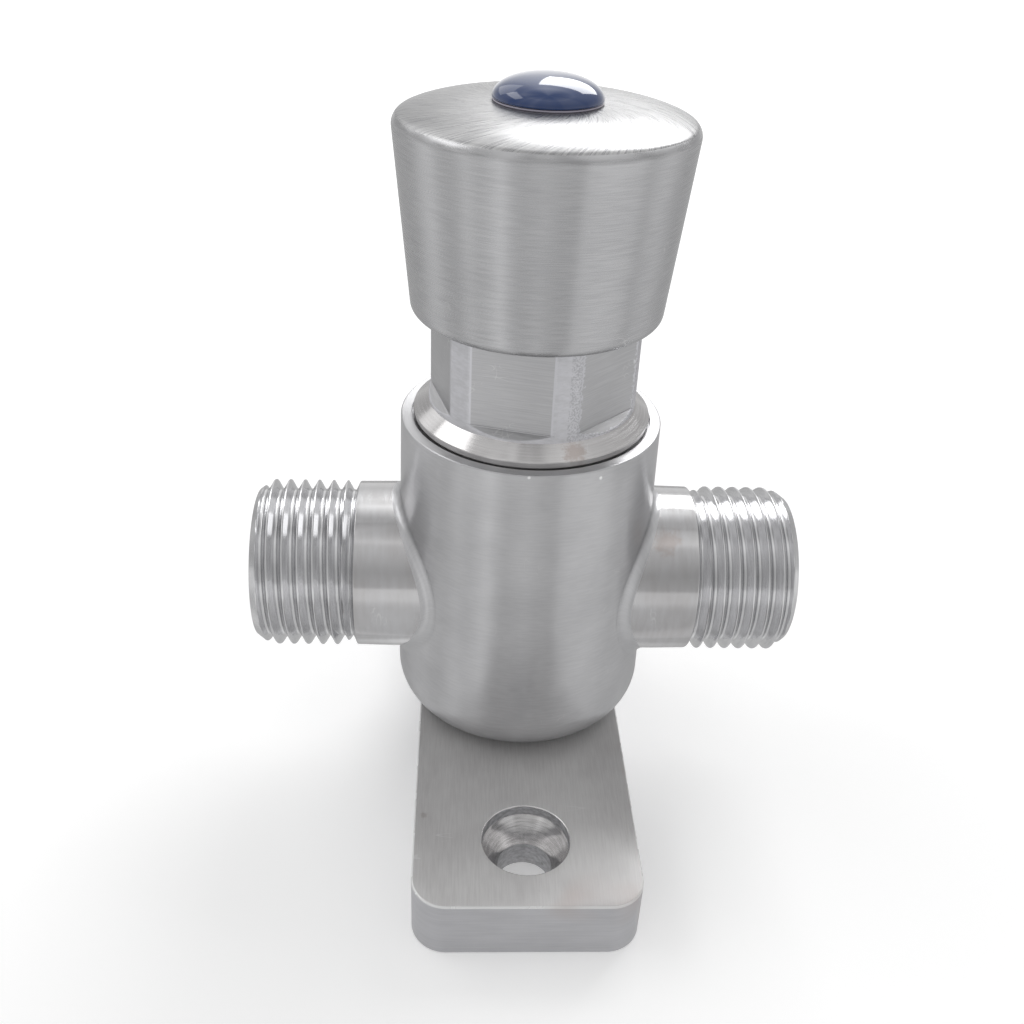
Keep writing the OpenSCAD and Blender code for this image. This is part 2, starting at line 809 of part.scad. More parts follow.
module piston_lip_seal() {
    seal_h = piston_hub_h - 0.1;
    color("black")
    difference() {
        ring(sleeve_bore_r - running_gap, piston_hub_r + fixed_gap, flange_top_z, seal_h);
        ring(sleeve_bore_r - 0.7, piston_hub_r + 0.7, flange_top_z + seal_h / 2, seal_h);
    }
}

module piston_clip() {
    color("dimgray")
    difference() {
        ring(spindle_r + 1.2, spindle_r - clip_groove_depth + touch_gap, clip_z, piston_clip_t - touch_gap);
        ring_opening(-spindle_r - 1, clip_opening, clip_z);
    }
}

module bleed_pin() {
    pin_gap = 0.12;
    pin_head_r = bleed_r + 0.25;
    pin_head_t = 0.4;
    color("gray")
    translate([bleed_x, 0, 0]) {
        rod(bleed_r - pin_gap, piston_z + 0.3, hub_top_z - piston_z - 0.3);
        rod(pin_head_r, hub_top_z, pin_head_t);
    }
}

// Disc group below the seat
module disc_cup() {
    color("gray")
    difference() {
        rod(disc_r + cup_wall, cup_z, cup_base_t + disc_t - 0.5);
        rod(disc_r + fixed_gap, disc_z, disc_t);
        rod(spindle_foot_r + fixed_gap, cup_z - 1, cup_base_t + 2);
    }
}

module valve_disc() {
    color("black")
        ring(disc_r, spindle_foot_r + fixed_gap, disc_z, disc_t);
}

module disc_nut() {
    color("silver")
    difference() {
        hex_rod(disc_nut_flats, nut_z, disc_nut_t);
        rod(spindle_foot_r + fixed_gap, nut_z - 1, disc_nut_t + 2);
    }
}

// Push cap: flared skirt, rounded rim, shallow crown, boss for the spindle and recess for the index
module push_cap() {
    foot_middle = [0, cap_z];
    foot_corner = [cap_foot_r, cap_z];
    rim_corner = [cap_rim_r, crown_z - crown_h];
    crown_edge = [dome_r + 0.1, crown_z];
    color("silver")
    difference() {
        rotate_extrude() {
            polygon(concat(
                [foot_middle],
                corner_cut(foot_middle, foot_corner, rim_corner, cap_foot_round),
                corner_cut(foot_corner, rim_corner, crown_edge, cap_rim_round),
                [crown_edge, [0, crown_z]]));
            corner_round(foot_middle, foot_corner, rim_corner, cap_foot_round);
            corner_round(foot_corner, rim_corner, crown_edge, cap_rim_round);
        }
        rod(skirt_bore_r, cap_z - 1, boss_z - cap_z + 1);
        ring(skirt_bore_r, boss_r, boss_z - 0.5, roof_z - boss_z + 0.5);
        rod(spindle_r + running_gap, boss_z - 1, spindle_top_z + touch_gap - boss_z + 1);
        rod(cap_shoulder_r + running_gap, boss_z, crown_z - boss_z);
        rod(recess_r, recess_z, recess_depth + 1);
    }
}

// The cap turns on the spindle, held by a washer and a shouldered screw
cap_washer_z = recess_z + touch_gap;
cap_head_z = cap_washer_z + cap_washer_t;
cap_shoulder_r = cap_screw_r + 0.45;

module cap_washer() {
    color("gainsboro")
        ring(cap_screw_head_r + 0.6, cap_shoulder_r + fixed_gap, cap_washer_z, cap_washer_t);
}

module cap_screw() {
    color("gray")
    difference() {
        union() {
            rod(cap_screw_head_r, cap_head_z, cap_screw_head_h);
            rod(cap_shoulder_r, spindle_top_z, cap_head_z - spindle_top_z + 0.1);
            rod(cap_screw_r, spindle_top_z - cap_screw_grip, cap_screw_grip + 0.1);
        }
        hex_rod(socket_flats, cap_head_z + cap_screw_head_h - socket_depth, socket_depth + 1);
    }
}

// Index dome, pressed into the recess over the screw's head
module index_dome() {
    head_gap = 0.1;
    dome_foot = 0.25;
    spigot_h = crown_z - cap_head_z - cap_screw_head_h - head_gap;
    steps = 8;
    color("steelblue")
        rotate_extrude()
            polygon(concat(
                [[0, crown_z - spigot_h], [recess_r - fixed_gap, crown_z - spigot_h],
                    [recess_r - fixed_gap, crown_z], [dome_r, crown_z]],
                [for (i = [1:steps]) let (a = 90 * i / steps)
                    [i == steps ? 0 : dome_r * cos(a), crown_z + dome_foot + (dome_h - dome_foot) * sin(a)]]));
}

base_plate();
base_screws();
valve_body();
inlet_nipple();
outlet_nipple();
port_welds();
inlet_strainer();
seat_ring();
seat_o_ring();
bonnet();
bonnet_o_ring();
timing_sleeve();
sleeve_o_ring();
spring_seat();
snap_ring();
return_spring();
gland_bush();
gland_o_ring();
stem_o_rings();
gland_circlip();
stop_washer();
thrust_washer();
spindle();
piston();
piston_lip_seal();
piston_clip();
bleed_pin();
disc_cup();
valve_disc();
disc_nut();
push_cap();
cap_washer();
cap_screw();
index_dome();
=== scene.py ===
import json
import math
from types import SimpleNamespace

import bmesh
import bpy
import numpy as np
from mathutils import Matrix, Vector


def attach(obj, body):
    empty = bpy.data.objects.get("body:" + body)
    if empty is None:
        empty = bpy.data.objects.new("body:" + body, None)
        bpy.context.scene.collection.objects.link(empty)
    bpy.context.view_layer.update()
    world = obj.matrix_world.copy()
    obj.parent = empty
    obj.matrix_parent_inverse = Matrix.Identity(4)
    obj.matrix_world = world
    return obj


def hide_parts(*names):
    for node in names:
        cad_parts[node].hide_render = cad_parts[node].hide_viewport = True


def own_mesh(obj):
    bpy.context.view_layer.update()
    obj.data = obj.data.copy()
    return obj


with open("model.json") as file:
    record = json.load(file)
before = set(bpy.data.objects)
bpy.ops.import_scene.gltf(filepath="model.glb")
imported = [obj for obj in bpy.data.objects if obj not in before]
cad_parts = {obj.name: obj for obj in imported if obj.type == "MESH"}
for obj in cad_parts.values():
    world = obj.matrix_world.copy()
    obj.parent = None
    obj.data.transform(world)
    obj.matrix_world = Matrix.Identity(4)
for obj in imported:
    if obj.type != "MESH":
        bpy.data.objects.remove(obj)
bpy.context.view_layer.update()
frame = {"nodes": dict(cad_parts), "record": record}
mm = 0.001
# in mm, for shapes and grains alike: height of the ports' axis, fixing holes from the middle
shared = {"portAxisZ": 26.3, "fixingHoleY": 29.0}
print("frame loaded:", len(frame["nodes"]), "nodes")


# meshes from grids of points

# corner points (r, z, rounding) become a smooth profile: each corner is cut back by
# rounding / tan(half angle) on both sides and an arc about the inner centre joins the cuts
def roundedProfile(corners, closed=True, arcStep=8.0):
    pts = np.array([c[:2] for c in corners], float)
    count = len(corners)
    out = []
    for i, corner in enumerate(corners):
        radius = corner[2] if len(corner) > 2 else 0.0
        ends = not closed and i in (0, count - 1)
        if radius <= 0 or ends:
            out.append(pts[i])
            continue
        toBack = pts[i - 1] - pts[i]
        toNext = pts[(i + 1) % count] - pts[i]
        toBack /= np.linalg.norm(toBack)
        toNext /= np.linalg.norm(toNext)
        half = math.acos(np.clip(toBack @ toNext, -1, 1)) / 2
        middle = (toBack + toNext) / np.linalg.norm(toBack + toNext)
        centre = pts[i] + middle * radius / math.sin(half)
        start = pts[i] + toBack * radius / math.tan(half) - centre
        end = pts[i] + toNext * radius / math.tan(half) - centre
        first = math.atan2(start[1], start[0])
        sweep = (math.atan2(end[1], end[0]) - first + math.pi) % (2 * math.pi) - math.pi
        steps = max(2, int(abs(math.degrees(sweep)) / arcStep) + 1)
        angles = first + sweep * np.linspace(0, 1, steps + 1)
        out.extend(centre + radius * np.stack([np.cos(angles), np.sin(angles)], 1))
    return np.array(out)


# long straight runs of a profile are cut into steps no longer than about twice longest
def subdivided(profile, longest, closed=True):
    following = np.roll(profile, -1, axis=0) if closed else profile[1:]
    here = profile if closed else profile[:-1]
    out = []
    for a, b in zip(here, following):
        steps = max(1, int(np.linalg.norm(b - a) / longest))
        out.append(a + (b - a) * (np.arange(steps) / steps)[:, None])
    if not closed:
        out.append(profile[-1:])
    return np.concatenate(out)


def openProfile(corners, longest):
    return subdivided(roundedProfile(corners, closed=False), longest, closed=False)


# the smaller of two values, with the change from one to the other rounded over width
def smoothMin(a, b, width):
    return 0.5 * (a + b - np.sqrt((a - b) ** 2 + width * width))


def smoothMax(a, b, width):
    return 0.5 * (a + b + np.sqrt((a - b) ** 2 + width * width))


# one mesh from several grids (rows x columns x 3, in mm); a wrapped direction joins its
# last line to its first; doubles are merged so that seams and poles close; a grid whose
# volume comes out negative is turned outwards; zones gives each face's finish from its middle
def gridPiece(name, grids, materials, body, nodes=(), sharpAngle=None, zones=None):
    verts, faces, uvs = [], [], []
    offset = 0
    for grid in grids:
        points = np.asarray(grid["points"], float)
        rows, cols = points.shape[:2]
        i = np.arange(rows if grid.get("wrapRows") else rows - 1)[:, None]
        j = np.arange(cols if grid.get("wrapCols") else cols - 1)[None, :]
        i2, j2 = (i + 1) % rows, (j + 1) % cols
        quads = np.stack(np.broadcast_arrays(i * cols + j, i * cols + j2, i2 * cols + j2, i2 * cols + j), -1)
        if "uv" in grid:
            corners = grid["uv"].reshape(-1, 2)[quads]
        else:
            u, v = np.broadcast_arrays(j / j.size, i / i.size)
            du, dv = 1 / j.size, 1 / i.size
            sides = ((0, 0), (du, 0), (du, dv), (0, dv))
            corners = np.stack([np.stack([u + right, v + up], -1) for right, up in sides], -2)
        if "keep" in grid:
            quads, corners = quads[grid["keep"]], corners[grid["keep"]]
        quads, corners = quads.reshape(-1, 4), corners.reshape(-1, 4, 2)
        spots = points.reshape(-1, 3)
        if grid.get("closed", True):
            a, b, c, d = (spots[quads[:, k]] for k in range(4))
            inwards = np.einsum("ij,ij->", a, np.cross(b, c)) + np.einsum("ij,ij->", a, np.cross(c, d)) < 0
        else:
            inwards = grid.get("flip", False)
        if inwards:
            quads, corners = quads[:, ::-1], corners[:, ::-1]
        verts.append(spots * mm)
        faces.append(quads + offset)
        uvs.append(corners)
        offset += len(spots)
    mesh = bpy.data.meshes.new(name)
    mesh.from_pydata(np.concatenate(verts).tolist(), [], np.concatenate(faces).tolist())
    layer = mesh.uv_layers.new(name="UVMap")
    layer.data.foreach_set("uv", np.concatenate(uvs).reshape(-1).astype(np.float32))
    work = bmesh.new()
    work.from_mesh(mesh)
    bmesh.ops.remove_doubles(work, verts=work.verts, dist=2e-7)
    loose = [v for v in work.verts if not v.link_faces]
    bmesh.ops.delete(work, geom=loose, context="VERTS")
    work.to_mesh(mesh)
    work.free()
    mesh.shade_smooth()
    if sharpAngle:
        mesh.set_sharp_from_angle(angle=math.radians(sharpAngle))
    for material in materials:
        mesh.materials.append(material)
    if zones:
        middle = np.zeros(len(mesh.polygons) * 3, np.float32)
        mesh.polygons.foreach_get("center", middle)
        mesh.polygons.foreach_set("material_index", zones(middle.reshape(-1, 3) / mm).astype(np.int32))
    piece = bpy.data.objects.new(name, mesh)
    bpy.context.scene.collection.objects.link(piece)
    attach(piece, body)
    if nodes:
        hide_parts(*nodes)
    print("piece", name, len(mesh.polygons), "faces")
    return piece


def fullTurn(steps):
    return np.linspace(0, 2 * np.pi, steps, endpoint=False)


# points about the upright axis: x = r cos a, y = r sin a
def roundPoints(r, angle, z):
    return np.stack(np.broadcast_arrays(r * np.cos(angle), r * np.sin(angle), z), -1)


def wrapped(points, **more):
    return {"points": points, "wrapRows": True, "wrapCols": True, **more}


# a profile (r, z) turned about the upright axis
def turnedGrid(profile, columns, **more):
    return wrapped(roundPoints(profile[:, :1], fullTurn(columns), profile[:, 1:]), **more)


# node groups

def newGroup(name, inputs, outputs):
    group = bpy.data.node_groups.new(name, "ShaderNodeTree")
    for label, value in inputs.items():
        kind = "NodeSocketFloat" if isinstance(value, float) else "NodeSocketVector"
        socket = group.interface.new_socket(name=label, in_out="INPUT", socket_type=kind)
        if value is not None:
            socket.default_value = value
    for label in outputs:
        group.interface.new_socket(name=label, in_out="OUTPUT", socket_type="NodeSocketFloat")
    return group, group.nodes.new("NodeGroupInput").outputs, group.nodes.new("NodeGroupOutput").inputs


# each named input of a node gets a link, or its value where the source is a plain one
def feed(tree, inputs, sources):
    for socket, source in sources.items():
        if isinstance(source, bpy.types.NodeSocket):
            tree.links.new(source, inputs[socket])
        else:
            inputs[socket].default_value = source


def addNode(tree, kind, sources, **settings):
    node = tree.nodes.new(kind)
    for key, value in settings.items():
        setattr(node, key, value)
    feed(tree, node.inputs, sources)
    return node


def mathNode(tree, operation, *values):
    return addNode(tree, "ShaderNodeMath", dict(enumerate(values)), operation=operation).outputs[0]


def product(tree, a, b):
    return mathNode(tree, "MULTIPLY", a, b)


def reachNode(tree, x, y):
    return mathNode(tree, "SQRT", mathNode(tree, "ADD", product(tree, x, x), product(tree, y, y)))


def rampNode(tree, value, low, high, fromValue=0.0, toValue=1.0):
    node = addNode(tree, "ShaderNodeMapRange", {
        "Value": value, "From Min": low, "From Max": high, "To Min": fromValue, "To Max": toValue},
        interpolation_type="SMOOTHSTEP")
    return node.outputs["Result"]


def noiseNode(tree, vector, scale, detail, roughness):
    node = addNode(tree, "ShaderNodeTexNoise", {
        "Vector": vector, "Scale": scale, "Detail": detail, "Roughness": roughness})
    return node.outputs["Fac"]


def mixColour(tree, factor, a, b, blend="MIX"):
    node = addNode(tree, "ShaderNodeMix", {0: factor, 6: a, 7: b}, data_type="RGBA", blend_type=blend)
    return node.outputs[2]


def separated(tree, vector):
    return addNode(tree, "ShaderNodeSeparateXYZ", {0: vector}).outputs


# noises are scale, detail and roughness, spans are the values at which a smooth step starts
# and ends, and a hair is a turn and a stretch of the noise that draws it
grain = {
    "turned": (1.0, 2.0, 0.5), "straight": (1.0, 3.0, 0.6), "clouds": (120.0, 3.0, 0.55), "slant": 1.37,
    "clumps": (260.0, 2.0, 0.6), "speckEdge": (0.05, 0.3), "speckSpan": (0.66, 0.74),
    "hair": (1.0, 0.0, 0.5), "hairEdge": (0.004, 0.014), "hairSpan": (0.66, 0.7),
    "patches": (230.0, 1.0, 0.5),
    "hairs": (((0.3, 0.5, 0.9), (900.0, 60.0, 900.0)), ((1.1, -0.4, -0.5), (60.0, 800.0, 800.0)))}


# grain that runs round an axis: the direction (cos a, sin a) is scaled little and the way
# along the profile (height + radius) much, so noise there draws fine rings; a twist turns the
# direction with the radius, and the streaks of a brushed crown become spirals
def makeTurnedGrain():
    group, inputs, outputs = newGroup(
        "turnedGrain", {"Vector": None, "Lines": 5000.0, "Around": 8.0, "Twist": 0.0}, ["Grain", "Clouds"])
    x, y, z = separated(group, inputs["Vector"])
    radius = reachNode(group, x, y)
    angle = mathNode(group, "ADD", mathNode(group, "ARCTAN2", y, x), product(group, radius, inputs["Twist"]))
    along = mathNode(group, "ADD", z, product(group, radius, grain["slant"]))
    stretched = addNode(group, "ShaderNodeCombineXYZ", {
        0: product(group, mathNode(group, "COSINE", angle), inputs["Around"]),
        1: product(group, mathNode(group, "SINE", angle), inputs["Around"]),
        2: product(group, along, inputs["Lines"])}).outputs[0]
    feed(group, outputs, {
        "Grain": noiseNode(group, stretched, *grain["turned"]),
        "Clouds": noiseNode(group, inputs["Vector"], *grain["clouds"])})
    return group


# grain along one axis: noise on a vector that is scaled little along the brushing
def makeStraightGrain():
    group, inputs, outputs = newGroup(
        "straightGrain", {"Vector": None, "Stretch": (6000.0, 200.0, 6000.0)}, ["Grain", "Clouds"])
    stretched = addNode(group, "ShaderNodeVectorMath", {0: inputs["Vector"], 1: inputs["Stretch"]},
                        operation="MULTIPLY").outputs[0]
    feed(group, outputs, {
        "Grain": noiseNode(group, stretched, *grain["straight"]),
        "Clouds": noiseNode(group, inputs["Vector"], *grain["clouds"])})
    return group


# small specks where a cell noise comes close to its points, in clumps
def makeSpecks():
    group, inputs, outputs = newGroup("specks", {"Vector": None, "Scale": 900.0, "Share": 0.12}, ["Mask"])
    cells = addNode(group, "ShaderNodeTexVoronoi", {"Vector": inputs["Vector"], "Scale": inputs["Scale"]})
    clumps = noiseNode(group, inputs["Vector"], *grain["clumps"])
    near = rampNode(group, cells.outputs["Distance"], *grain["speckEdge"], 1.0, 0.0)
    chosen = rampNode(group, mathNode(group, "ADD", clumps, inputs["Share"]), *grain["speckSpan"])
    feed(group, outputs, {"Mask": product(group, near, chosen)})
    return group


# hair scratches: thin lines where a long drawn-out noise passes its middle value, kept only
# in a few patches
def makeScratches():
    group, inputs, outputs = newGroup("scratches", {"Vector": None, "Share": 0.0}, ["Mask"])
    lines = []
    for turn, stretch in grain["hairs"]:
        turned = addNode(group, "ShaderNodeMapping", {
            "Vector": inputs["Vector"], "Rotation": turn, "Scale": stretch}).outputs[0]
        wave = noiseNode(group, turned, *grain["hair"])
        off = mathNode(group, "ABSOLUTE", mathNode(group, "SUBTRACT", wave, 0.5))
        lines.append(rampNode(group, off, *grain["hairEdge"], 1.0, 0.0))
    patches = noiseNode(group, inputs["Vector"], *grain["patches"])
    chosen = rampNode(group, mathNode(group, "ADD", patches, inputs["Share"]), *grain["hairSpan"])
    feed(group, outputs, {"Mask": product(group, mathNode(group, "MAXIMUM", *lines), chosen)})
    return group


turnedGrain = makeTurnedGrain()
straightGrain = makeStraightGrain()
specks = makeSpecks()
scratches = makeScratches()
print("node groups made")


# materials

def newMaterial(name):
    material = bpy.data.materials.new(name)
    material.use_nodes = True
    tree = material.node_tree
    tree.nodes.clear()
    output = tree.nodes.new("ShaderNodeOutputMaterial")
    shader = tree.nodes.new("ShaderNodeBsdfPrincipled")
    tree.links.new(shader.outputs[0], output.inputs["Surface"])
    return material, tree, shader


def groupOutputs(tree, group, sources):
    node = tree.nodes.new("ShaderNodeGroup")
    node.node_tree = group
    feed(tree, node.inputs, sources)
    return node.outputs


def objectVector(tree):
    return tree.nodes.new("ShaderNodeTexCoord").outputs["Object"]


# the port's axis turned upright
def portVector(tree):
    return addNode(tree, "ShaderNodeMapping", {
        "Vector": objectVector(tree), "Location": (-shared["portAxisZ"] * mm, 0, 0),
        "Rotation": (0, math.radians(90), 0)}).outputs[0]


# both fixing holes fold onto one axis: y is taken without its sign, less the holes' distance
def holeVector(tree):
    x, y, z = separated(tree, objectVector(tree))
    folded = mathNode(tree, "SUBTRACT", mathNode(tree, "ABSOLUTE", y), shared["fixingHoleY"] * mm)
    return addNode(tree, "ShaderNodeCombineXYZ", {0: x, 1: folded, 2: z}).outputs[0]


# what wear and the cutter add to the grain; lengths are in metres, noises and spans as above
wear = {
    "grainSpan": (0.3, 0.7), "bump": 0.5, "tint": (0.8, 0.8, 0.8, 1),
    "warmNoise": (75.0, 2.0, 0.5), "warmSpan": (0.62, 0.78), "warmShare": 0.7,
    "warmShade": (0.53, 0.47, 0.45, 1), "raggedNoise": (2300.0, 2.0, 0.6), "raggedFrom": (0.0029, 0.0034),
    "raggedDepth": 0.0007, "raggedEdge": 0.00004, "rawShade": (0.64, 0.64, 0.67, 1),
    "chatterNoise": (5200.0, 1.0, 0.5), "chatterSpan": (0.42, 0.62), "chatterEdge": 0.0002,
    "chatterShade": (0.47, 0.47, 0.49, 1),
    "markNoise": (900.0, 4.0, 0.8), "markUneven": 2.2, "markSpan": (1.4, 2.1),
    "speckScale": 800.0, "speckShade": (0.15, 0.14, 0.14, 1), "speckShare": 0.55,
    "hairShade": (0.72, 0.72, 0.72, 1), "hairShare": 0.45}


# slow clouds of a warmer tone
def addWarmth(tree, vector, colour, share):
    low, high = wear["warmSpan"]
    warm = rampNode(tree, noiseNode(tree, vector, *wear["warmNoise"]), low - share, high)
    return mixColour(tree, product(tree, warm, wear["warmShare"]), colour, wear["warmShade"])


# the cutter left a ragged edge towards the raw bar, on the right of the front strip
def addRaggedEdge(tree, vector, colour, edgeR):
    x, y, z = separated(tree, vector)
    uneven = mathNode(tree, "SUBTRACT", noiseNode(tree, vector, *wear["raggedNoise"]), 0.5)
    depth = rampNode(tree, x, *wear["raggedFrom"], 0.0, wear["raggedDepth"])
    reach = mathNode(tree, "ADD", reachNode(tree, x, y), product(tree, uneven, depth))
    return mixColour(tree, rampNode(tree, reach, edgeR, edgeR + wear["raggedEdge"]), colour, wear["rawShade"])


# the cutter's marks roughen the right half of the front strip
def addChatter(tree, vector, colour, fromX):
    marks = rampNode(tree, noiseNode(tree, vector, *wear["chatterNoise"]), *wear["chatterSpan"])
    side = rampNode(tree, separated(tree, vector)[0], fromX, fromX + wear["chatterEdge"])
    return mixColour(tree, product(tree, marks, side), colour, wear["chatterShade"])


# a single stain, or a dot of painted highlight: the distance from its middle, uneven by a noise
def addMark(tree, vector, colour, mark):
    middle, radius, shade, strength = mark
    away = addNode(tree, "ShaderNodeVectorMath", {0: objectVector(tree), 1: [c * mm for c in middle]},
                   operation="DISTANCE").outputs["Value"]
    uneven = product(tree, noiseNode(tree, vector, *wear["markNoise"]), wear["markUneven"] * radius * mm)
    low, high = (share * radius * mm for share in wear["markSpan"])
    inside = rampNode(tree, mathNode(tree, "ADD", away, uneven), low, high, strength, 0.0)
    return mixColour(tree, inside, colour, shade + (1,))


# steel: tone and roughness follow the grain and its slow clouds, with specks and scratches;
# the grain is turned round an axis where the look has lines, and straight where it has a stretch
def steel(name, look, vector=objectVector, tangentAxis="Z"):
    material, tree, shader = newMaterial(name)
    vector = vector(tree)
    if "stretch" in look:
        grown = groupOutputs(tree, straightGrain, {"Vector": vector, "Stretch": look["stretch"]})
    else:
        grown = groupOutputs(tree, turnedGrain, {
            "Vector": vector, "Lines": look["lines"], "Around": look["around"],
            "Twist": look.get("twist", 0.0)})
    fine = grown["Grain"]
    lines, clouds = (rampNode(tree, source, *wear["grainSpan"]) for source in (fine, grown["Clouds"]))
    tone = mathNode(tree, "ADD", product(tree, lines, look["grainTone"]),
                    product(tree, clouds, 1.0 - look["grainTone"]))
    colour = mixColour(tree, tone, look["dark"] + (1,), look["light"] + (1,))
    for key, add in (("warmShare", addWarmth), ("raggedAt", addRaggedEdge), ("chatterFrom", addChatter)):
        if key in look:
            colour = add(tree, vector, colour, look[key])
    for mark in look.get("marks", ()):
        colour = addMark(tree, vector, colour, mark)
    spots = groupOutputs(tree, specks, {
        "Vector": vector, "Scale": wear["speckScale"], "Share": look["specks"]})
    colour = mixColour(tree, product(tree, spots["Mask"], wear["speckShare"]), colour, wear["speckShade"])
    hairs = groupOutputs(tree, scratches, {"Vector": vector, "Share": look["scratches"]})
    colour = mixColour(tree, product(tree, hairs["Mask"], wear["hairShare"]), colour, wear["hairShade"])
    tangent = addNode(tree, "ShaderNodeTangent", {}, direction_type="RADIAL", axis=tangentAxis)
    bump = addNode(tree, "ShaderNodeBump", {
        "Height": fine, "Distance": look["groove"], "Strength": wear["bump"]})
    # with grooves that run round the axis the reflection is drawn out across them
    feed(tree, shader.inputs, {
        "Base Color": colour, "Roughness": rampNode(tree, fine, *wear["grainSpan"], *look["rough"]),
        "Metallic": look["metallic"], "Specular Tint": wear["tint"], "Anisotropic": look["anisotropic"],
        "Anisotropic Rotation": look["turn"], "Tangent": tangent.outputs[0], "Normal": bump.outputs[0]})
    return material


# a plain finish: its colour and roughness vary a little with a fine cloud
plain = {
    "cloud": (700.0, 3.0, 0.6), "cloudSpan": (0.2, 0.8), "shade": 0.82, "roughSpread": 0.15,
    "coatRough": 0.05}


def plainFinish(name, colour, metallic, roughness, coat=0.0, ior=1.45):
    material, tree, shader = newMaterial(name)
    cloud = noiseNode(tree, objectVector(tree), *plain["cloud"])
    shade = tuple(c * plain["shade"] for c in colour) + (1,)
    rough = rampNode(tree, cloud, *plain["cloudSpan"], roughness * (1 - plain["roughSpread"]),
                     roughness * (1 + plain["roughSpread"]))
    feed(tree, shader.inputs, {
        "Base Color": mixColour(tree, cloud, shade, colour + (1,)), "Roughness": rough, "Metallic": metallic,
        "IOR": ior, "Coat Weight": coat, "Coat Roughness": plain["coatRough"]})
    return material


# a look holds two tones, the grain's scales, its share in the tone and its groove in metres,
# and the shader's values; the cap's skirt has the first one and the others change it. Marks
# are a middle and a radius in mm, a colour and a strength
turnedLook = {
    "lines": 8000.0, "around": 5.0, "grainTone": 0.75, "rough": (0.24, 0.3), "anisotropic": 0.95,
    "turn": 0.25, "metallic": 1.0, "groove": 0.000002, "specks": -0.1, "scratches": -0.03,
    "light": (0.56, 0.56, 0.57), "dark": (0.44, 0.44, 0.45)}
crownLook = dict(
    turnedLook, lines=420.0, around=105.0, twist=70.0, rough=(0.26, 0.34), anisotropic=0.3, turn=0.0,
    grainTone=0.9, groove=0.000006, light=(0.53, 0.53, 0.53), dark=(0.34, 0.34, 0.35))
bodyLook = dict(
    turnedLook, lines=4600.0, around=8.0, grainTone=0.4, rough=(0.28, 0.33), anisotropic=0.9,
    groove=0.000001, metallic=0.85, specks=-0.2, light=(0.59, 0.59, 0.6), dark=(0.49, 0.49, 0.5),
    # the two near-white marks at the front of the rim are painted highlights, glints on the rim's edge
    marks=[((7.02, -13.7, 47.29), 0.28, (0.95, 0.95, 0.95), 0.9),
           ((-0.95, -15.37, 48.1), 0.22, (0.95, 0.95, 0.95), 0.9)])
coneLook = dict(
    turnedLook, lines=9000.0, around=2.0, rough=(0.12, 0.18), anisotropic=0.9, warmShare=0.0,
    groove=0.000001, grainTone=0.4, scratches=-0.1, light=(0.64, 0.63, 0.63), dark=(0.5, 0.49, 0.49),
    marks=[((4.2, -12.4, 50.0), 1.9, (0.36, 0.3, 0.27), 0.6)])
flatLook = dict(
    turnedLook, stretch=(200.0, 200.0, 7000.0), rough=(0.3, 0.38), anisotropic=0.8, grainTone=0.7,
    scratches=0.03, metallic=0.97, raggedAt=0.01192)
barLook = dict(
    turnedLook, stretch=(900.0, 900.0, 2600.0), rough=(0.4, 0.5), anisotropic=0.0, turn=0.0,
    metallic=0.7, light=(0.68, 0.68, 0.71), dark=(0.56, 0.56, 0.58), chatterFrom=0.0031)
collarLook = dict(
    turnedLook, lines=1500.0, around=3.0, rough=(0.13, 0.17), anisotropic=0.5, grainTone=0.3,
    groove=0.000001, warmShare=0.0, light=(0.59, 0.59, 0.6), dark=(0.5, 0.49, 0.49),
    marks=[((16.9, -6.6, 34.4), 2.2, (0.44, 0.36, 0.32), 0.4)])
threadLook = dict(
    turnedLook, lines=5200.0, around=3.0, rough=(0.12, 0.18), anisotropic=0.2, grainTone=0.5,
    groove=0.000001, light=(0.74, 0.74, 0.75), dark=(0.6, 0.6, 0.61), metallic=0.96, scratches=-0.2)
plateLook = dict(
    turnedLook, stretch=(5200.0, 260.0, 5200.0), rough=(0.34, 0.46), anisotropic=0.7, turn=0.0,
    metallic=0.3, light=(0.64, 0.635, 0.63), dark=(0.52, 0.51, 0.51), specks=0.0, warmShare=-0.02,
    grainTone=0.5, marks=[((-11.9, -25.4, 7.7), 0.6, (0.3, 0.26, 0.25), 0.45)])
endLook = dict(
    plateLook, stretch=(150.0, 150.0, 3600.0), anisotropic=0.5, light=(0.6, 0.6, 0.62),
    dark=(0.5, 0.5, 0.52), specks=-0.1, marks=())
# the plate's rounded top edges are rubbed, and painted near-white as a highlight where they catch the light
edgeHighlightLook = dict(
    plateLook, stretch=(150.0, 150.0, 150.0), rough=(0.25, 0.3), anisotropic=0.0, specks=-1.0,
    scratches=-1.0, light=(0.88, 0.88, 0.88), dark=(0.82, 0.82, 0.82), groove=0.0, marks=())
sinkLook = dict(
    turnedLook, lines=3400.0, around=2.0, rough=(0.1, 0.17), anisotropic=0.85, specks=0.1,
    groove=0.0000012, light=(0.86, 0.85, 0.85), dark=(0.56, 0.55, 0.55), warmShare=0.0, grainTone=0.8,
    metallic=0.9)
# the walls of the fixing holes and the countersinks' upright lips are drilled, and painted darker as the
# shade inside the holes
drilledShadeLook = dict(
    turnedLook, stretch=(1400.0, 1400.0, 2600.0), rough=(0.38, 0.55), anisotropic=0.0, specks=0.12,
    groove=0.000012, light=(0.64, 0.64, 0.66), dark=(0.3, 0.3, 0.31), warmShare=0.0, metallic=0.4)

